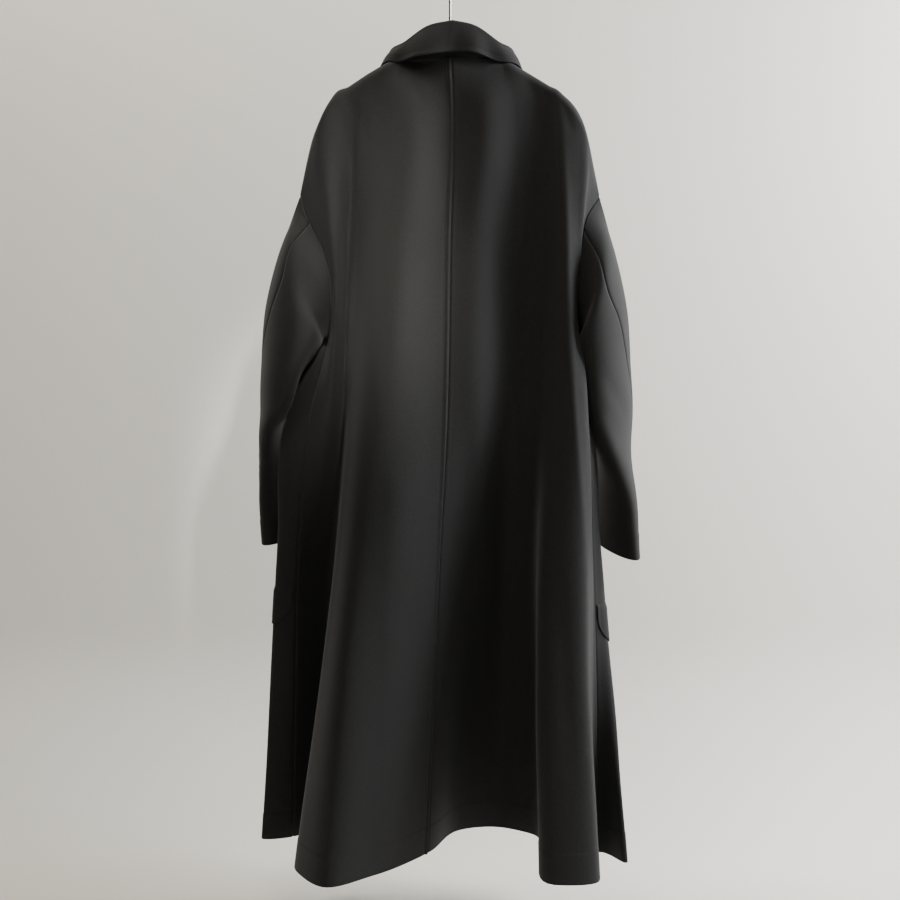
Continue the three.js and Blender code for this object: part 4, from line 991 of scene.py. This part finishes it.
def on_front(side, columns, heights, lift):
    """Places on a front panel at its columns and heights, moved out from it."""
    sheet = sheets[f"front_{side}"]
    shares = 1 - (1 - UNDERARM_SHARE) * heights / UNDERARM_HEIGHT
    r = np.interp(shares, SHARES, np.arange(len(SHARES)))
    c = np.interp(columns, FRONT_COLUMNS, np.arange(len(FRONT_COLUMNS)))
    r0, c0 = np.clip(r.astype(int), 0, len(SHARES) - 2), np.clip(c.astype(int), 0, len(FRONT_COLUMNS) - 2)
    u, v = (c - c0)[..., None], (r - r0)[..., None]

    def blend(key):
        grid = sheet[key]
        return ((grid[r0, c0] * (1 - u) + grid[r0, c0 + 1] * u) * (1 - v)
                + (grid[r0 + 1, c0] * (1 - u) + grid[r0 + 1, c0 + 1] * u) * v)
    normal = unit(blend("normal"))
    return blend("at") + normal * lift, normal


def flap(side):
    """A flap with rounded lower corners, its top edge let into the front."""
    top = FLAP_TOPS[side]
    columns = np.linspace(*FLAP_COLUMNS, FLAP_DIVISIONS)
    line, _ = on_front(side, columns, np.full(columns.shape, float(top)), 0)
    reach = reach_along(line[None])[0]
    from_end = np.minimum(np.minimum(reach, reach[-1] - reach), FLAP_CORNER)
    depth = FLAP_DEPTH - (FLAP_CORNER - np.sqrt(FLAP_CORNER**2 - (FLAP_CORNER - from_end) ** 2))
    t = np.linspace(0, 1, FLAP_ROWS)[:, None]
    grid_heights = top - depth[None] * t
    grid_columns = np.broadcast_to(columns, grid_heights.shape)
    lift = FLAP_LET_IN + FLAP_RISE * smoothstep(0, 0.14, t) + 0.2 * t
    at, normal = on_front(side, grid_columns, grid_heights, lift[..., None])
    border = np.minimum(np.minimum(reach, reach[-1] - reach)[None], depth[None] * (1 - t))
    out = np.full(border.shape, FLAP_HALF) + stitched(border, 6, 0.4, 0.9)
    mirror = panels[f"front_{side}"].mirror
    verts, faces = shell(at, normal, out, np.full(out.shape, FLAP_HALF), ALL_EDGES)
    return verts, faces if mirror > 0 else faces[:, ::-1]


for side in FLAP_TOPS:
    sewn(f"pocket_flap_{side}_cloth", flap(side))

# Lapels: the top of each front turned back over itself, laid on a map of the cloth under it
CELL = 2.0
MAP_START = (-200, 840)
MAP_SIZE = (200, 170)


def front_depth(side):
    """A map of how far forward the front lies, by x and height, with the cloth near each place in it."""
    sheet = sheets[f"front_{side}"]
    spots = sheet["at"][sheet["normal"][..., 1] < 0]
    extra = (sheet["at"][:, 1:] + sheet["at"][:, :-1]) / 2
    spots = np.concatenate([spots, extra[sheet["normal"][:, 1:, 1] < 0]])
    (x0, h0), (wide, high) = MAP_START, MAP_SIZE
    depth = np.full(MAP_SIZE, 50.0)
    i = ((spots[:, 0] - x0) / CELL).astype(int)
    k = ((spots[:, 2] - h0) / CELL).astype(int)
    ok = (i >= 0) & (i < wide) & (k >= 0) & (k < high)
    np.minimum.at(depth, (i[ok], k[ok]), spots[ok, 1])
    for blend in [np.min] * 5 + [np.mean] * 6:
        padded = np.pad(depth, 1, mode="edge")
        depth = blend([padded[a:a + wide, b:b + high] for a in range(3) for b in range(3)], axis=0)

    def at(x, height):
        i = np.clip((x - x0) / CELL, 0, wide - 1.01)
        k = np.clip((height - h0) / CELL, 0, high - 1.01)
        i0, k0 = i.astype(int), k.astype(int)
        u, v = i - i0, k - k0
        return ((depth[i0, k0] * (1 - u) + depth[i0 + 1, k0] * u) * (1 - v)
                + (depth[i0, k0 + 1] * (1 - u) + depth[i0 + 1, k0 + 1] * u) * v)
    return at


def lapel(side):
    """A lapel, from the roll line at the front's own edge to its outer edge."""
    mirror = 1 if side == "left" else -1
    along = np.linspace(0, 1, LAPEL_DIVISIONS)
    columns = LAPEL_START + (PANEL_COLUMNS - 0.1 - LAPEL_START) * along
    roll = panels[f"front_{side}"].top(columns)
    edge = smooth_through([row[0] for row in LAPEL_EDGE],
                          [(row[1] * mirror, 0, row[2]) for row in LAPEL_EDGE], along)
    depth = front_depth(side)
    rows = []
    for t in np.linspace(0.02, 1, LAPEL_ROWS):
        spot = roll * (1 - t) + edge * t
        past = smoothstep(0.55, 1, along)
        rise = LAPEL_RISE_TOP * (1 - past) + LAPEL_RISE_END * past
        spot[:, 1] = depth(spot[:, 0], spot[:, 2]) - rise
        rows.append(spot)
    flat = np.stack(rows)
    direction = unit(flat[3] - flat[0])
    out = np.array((0, -1.0, 0))
    start = roll + np.array((0, 1.0, 0))
    turn = []
    for a in np.radians((0, 30, 60, 90, 120, 150)):
        s = (1 - math.cos(a)) / 2
        turn.append(start * (1 - s) + flat[0] * s - direction * LAPEL_ROLL * math.sin(a))
    at = np.concatenate([np.stack(turn), flat])
    normal = normals_of(at, -mirror)
    across = reach_down(at)
    to_edge = np.minimum(across[-1][None] - across, reach_along(at))
    half = np.full(at.shape[:2], CLOTH / 2)
    verts, faces = shell(at, normal, half + stitched(to_edge, TOP_STITCH, 0.35, 0.9), half, ALL_EDGES)
    return verts, faces if mirror < 0 else faces[:, ::-1]


for side in ("left", "right"):
    sewn(f"lapel_{side}_cloth", lapel(side))

# Buttons, stitches, hanger and hook


def turned(profile, around=40):
    """A closed turned form of (radius, rise) points, its ends on the axis."""
    profile = np.asarray(profile, float)
    a = np.linspace(0, 2 * np.pi, around, endpoint=False)
    rings = profile[1:-1]
    verts = [np.array([[0, 0, profile[0][1]]])]
    for radius, rise in rings:
        verts.append(np.stack([radius * np.cos(a), radius * np.sin(a), np.full(around, rise)], -1))
    verts.append(np.array([[0, 0, profile[-1][1]]]))
    faces = [(0, 1 + (k + 1) % around, 1 + k) for k in range(around)]
    quads = []
    for ring in range(len(rings) - 1):
        low = 1 + ring * around
        quads += [(low + k, low + (k + 1) % around, low + around + (k + 1) % around, low + around + k)
                  for k in range(around)]
    top = 1 + (len(rings) - 1) * around
    caps = [(top + k, top + (k + 1) % around, top + around) for k in range(around)]
    return np.concatenate(verts), faces + quads + caps


def tube(path, radius, around=12, tip=0.4):
    """A round wire or thread along a path, with rounded ends."""
    path = np.asarray(path, float)
    along = unit(np.gradient(path, axis=0))
    side = unit(np.cross(along, (0.13, 0.21, 0.97)))
    for _ in range(2):
        side[1:-1] = unit(side[:-2] + side[1:-1] * 2 + side[2:])
    up = unit(np.cross(along, side))
    side = np.cross(up, along)
    a = np.linspace(0, 2 * np.pi, around, endpoint=False)
    ring = np.cos(a)[:, None, None] * side + np.sin(a)[:, None, None] * up
    rings = [path + ring_side * radius for ring_side in ring]
    body = np.stack(rings, axis=1)
    first = path[0] + (body[0] - path[0]) * tip - along[0] * radius * 0.6
    last = path[-1] + (body[-1] - path[-1]) * tip + along[-1] * radius * 0.6
    body = np.concatenate([first[None], body, last[None]])
    count = len(body)
    faces = [(low + k, low + (k + 1) % around, low + around + (k + 1) % around, low + around + k)
             for low in range(0, (count - 1) * around, around) for k in range(around)]
    verts = np.concatenate([body.reshape(-1, 3), [first.mean(0)], [last.mean(0)]])
    size = count * around
    faces += [(size, (k + 1) % around, k) for k in range(around)]
    faces += [(size + 1, size - around + k, size - around + (k + 1) % around) for k in range(around)]
    return verts, faces


def facing(normal):
    """Axes of a flat place: across, up and out of it."""
    across = unit(np.cross((0, 0, 1.0), normal))
    return np.stack([across, np.cross(normal, across), normal])


# A turned button from its back to the middle of its face: radius and rise
BUTTON_PROFILE = [(0, -2.4), (11.0, -2.4), (13.2, -1.2), (14, 0.1), (13.7, 1.3), (12.9, 2.1),
                  (11.8, 2.4), (10.7, 2.0), (9.6, 1.2), (8.2, 0.9), (4.5, 0.75), (0, 0.7)]
HOLE_AT = 2.3
HOLE_RADIUS = 1.15


def button(name):
    """A four-hole button on the left front, sewn on with a cross of thread."""
    low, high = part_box(name)
    centre = (np.array(low) + np.array(high)) / 2 / MM + (0, 0, HOOK_HEIGHT)
    sheet = sheets["front_left"]
    nearest = np.argmin(np.linalg.norm(sheet["at"] - centre, axis=-1))
    normal = sheet["normal"].reshape(-1, 3)[nearest]
    axes = facing(normal)
    disc, disc_faces = turned(BUTTON_PROFILE, BUTTON_DIVISIONS)
    body = make_piece(f"{name}_horn", [(disc @ axes + centre, disc_faces)], horn)
    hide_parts(name)
    rims = []
    for x, y in ((-1, -1), (1, -1), (1, 1), (-1, 1)):
        ring = [(HOLE_RADIUS * math.cos(a) + x * HOLE_AT, HOLE_RADIUS * math.sin(a) + y * HOLE_AT, 0.78)
                for a in np.linspace(0, 2 * np.pi, 17)[:-1]]
        rims.append(tube(np.array(ring) @ axes + centre, 0.22, 6))
    strands = []
    for way in (1, -1):
        for shift in (-0.42, 0, 0.42):
            path = [(way * HOLE_AT * (2 * t - 1) + shift, HOLE_AT * (2 * t - 1) - shift * way * 0.5,
                     0.6 + 0.9 * math.sin(math.pi * t) ** 0.5) for t in np.linspace(0.02, 0.98, 9)]
            strands.append(tube(np.array(path) @ axes + centre, 0.3, 6))
    threads(f"{name}_thread", strands + rims)


for name in BUTTONS:
    button(name)


def stitch_row(lines, length=3.4, gap=1.2, radius=0.34):
    """Short straight stitches along lines of points, each let into the cloth by half its thickness."""
    parts = []
    for line in lines:
        reach = np.concatenate([[0], np.cumsum(np.linalg.norm(np.diff(line, axis=0), axis=1))])
        starts = np.arange(gap, reach[-1] - length, length + gap)
        for start in starts:
            spots = [[np.interp(start + length * t, reach, line[:, k]) for k in range(3)]
                     for t in (0, 0.5, 1)]
            parts.append(tube(np.array(spots), radius, 5))
    return parts


def seam_line(name, reach_at, rows, from_end=False, lift=0.1):
    """A line on the outer face of a panel, at one distance from its edge."""
    sheet = sheets[name]
    at, normal = sheet["at"][rows], sheet["normal"][rows]
    if from_end:
        at, normal = at[:, ::-1], normal[:, ::-1]
    reach = reach_along(at)
    spots = []
    for row in range(len(at)):
        place = [np.interp(reach_at, reach[row], at[row][:, k]) for k in range(3)]
        out = unit(np.array([np.interp(reach_at, reach[row], normal[row][:, k]) for k in range(3)]))
        spots.append(np.array(place) + out * (CLOTH / 2 + lift))
    return np.array(spots)


below_neck = slice(1, None)
below_break = slice(int(np.argmin(abs(SHARES - 0.2))), None)
threads("back_seam_stitches", stitch_row([seam_line("back_left", WELT_STITCH, below_neck, lift=-0.5)]))
threads("front_edge_stitches", stitch_row([
    seam_line(name, TOP_STITCH, below_break, True, -0.15) for name in ("front_left", "front_right")]))


def wire_hook():
    """The hook: a stem from the crown of the hanger, then round over the rod."""
    centre = HOOK_HEIGHT - HOOK_RADIUS
    radius = HOOK_RADIUS + WIRE_RADIUS
    stem = [(0, HANGER_CROWN - 4), (0, HANGER_CROWN + 16), (0, HANGER_CROWN + 34), (4, HANGER_CROWN + 52)]
    bend = [(radius * math.cos(math.radians(a)), centre + radius * math.sin(math.radians(a)))
            for a in np.linspace(*HOOK_TURN, HOOK_DIVISIONS)]
    stem_points = [(0, y, z) for y, z in stem + bend[:1]]
    lead = smooth_through([0, 20, 38, 57, 76], stem_points, np.linspace(0, 74, 40))
    path = np.concatenate([lead, [(0, y, z) for y, z in bend]])
    return tube(path, WIRE_RADIUS, WIRE_DIVISIONS, 0.55)


hook = make_piece("hook_wire", [wire_hook()], plated_wire())
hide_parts("hanger_hook")
hanger_wood = lacquered_wood()
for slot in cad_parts["hanger"].material_slots:
    slot.material = hanger_wood

# The room: a pale floor that turns up into a wall behind the coat, soft light and the camera


def backdrop():
    """A wide sheet that runs forward as the floor and up as the wall."""
    width, floor, wall, turn = 3.2, -1.42, -0.62, 0.35
    profile = [(2.6, floor), (0.4, floor)]
    profile += [(wall + turn - turn * math.sin(a), floor + turn - turn * math.cos(a))
                for a in np.linspace(0, math.pi / 2, 13)]
    profile += [(wall, 1.6)]
    verts = [(x, y, z) for y, z in profile for x in (-width, width)]
    faces = [(2 * k, 2 * k + 1, 2 * k + 3, 2 * k + 2) for k in range(len(profile) - 1)]
    mesh = bpy.data.meshes.new("backdrop")
    mesh.from_pydata(verts, [], faces)
    mesh.shade_smooth()
    mesh.materials.append(painted_wall())
    made = bpy.data.objects.new("backdrop", mesh)
    bpy.context.scene.collection.objects.link(made)


backdrop()


def soft_light(name, place, aim, size, power, colour, spread=180):
    data = bpy.data.lights.new(name, "AREA")
    data.spread = math.radians(spread)
    data.shape = "RECTANGLE"
    data.size, data.size_y = size
    data.energy = power
    data.color = colour
    lamp = bpy.data.objects.new(name, data)
    bpy.context.scene.collection.objects.link(lamp)
    lamp.location = place
    lamp.rotation_euler = (Vector(aim) - Vector(place)).to_track_quat("-Z", "Y").to_euler()


# Each light: its name, place, aim, width and height, power, colour and spread
for light in (
    ("window_light", (-2.2, 0.45, -0.2), (0, 0, -0.45), (0.35, 1.4), 29, (0.93, 0.97, 1.0)),
    ("lamp_light", (-0.35, 1.5, 0.35), (0.1, 0.06, -0.42), (0.08, 0.4), 0.5, (1.0, 0.95, 0.88), 11),
    ("ceiling_light", (0.25, 0.9, 0.9), (0.05, 0, -0.4), (0.5, 0.4), 11, (1.0, 0.94, 0.86)),
    ("room_light", (1.9, 1.9, -0.5), (0, 0, -0.8), (1.6, 2.0), 2, (1.0, 0.97, 0.93)),
    ("wall_light_right", (-1.9, -0.1, 0.4), (-0.9, -0.62, -0.75), (1.6, 0.3), 95, (0.98, 0.99, 1.0)),
    ("wall_light_left", (0.9, 0.0, 1.3), (0.9, -0.62, 0.2), (1.6, 0.3), 24, (1.0, 0.91, 0.77)),
    ("front_light", (0.6, -0.45, 1.2), (0, -0.1, -0.5), (1.6, 0.5), 4, (1.0, 0.98, 0.95)),
):
    soft_light(*light)
world = bpy.data.worlds.new("room")
bpy.context.scene.world = world
world.use_nodes = True
ambient = world.node_tree.nodes["Background"].inputs
ambient["Color"].default_value = (0.93, 0.95, 1.0, 1)
ambient["Strength"].default_value = 0.05

camera_data = bpy.data.cameras.new("camera")
camera_data.lens = CAMERA_LENS
camera_data.sensor_width = CAMERA_SENSOR
camera = bpy.data.objects.new("camera", camera_data)
bpy.context.scene.collection.objects.link(camera)
camera.location = CAMERA_PLACE
camera.rotation_euler = (math.pi / 2, 0, math.pi)
bpy.context.scene.camera = camera
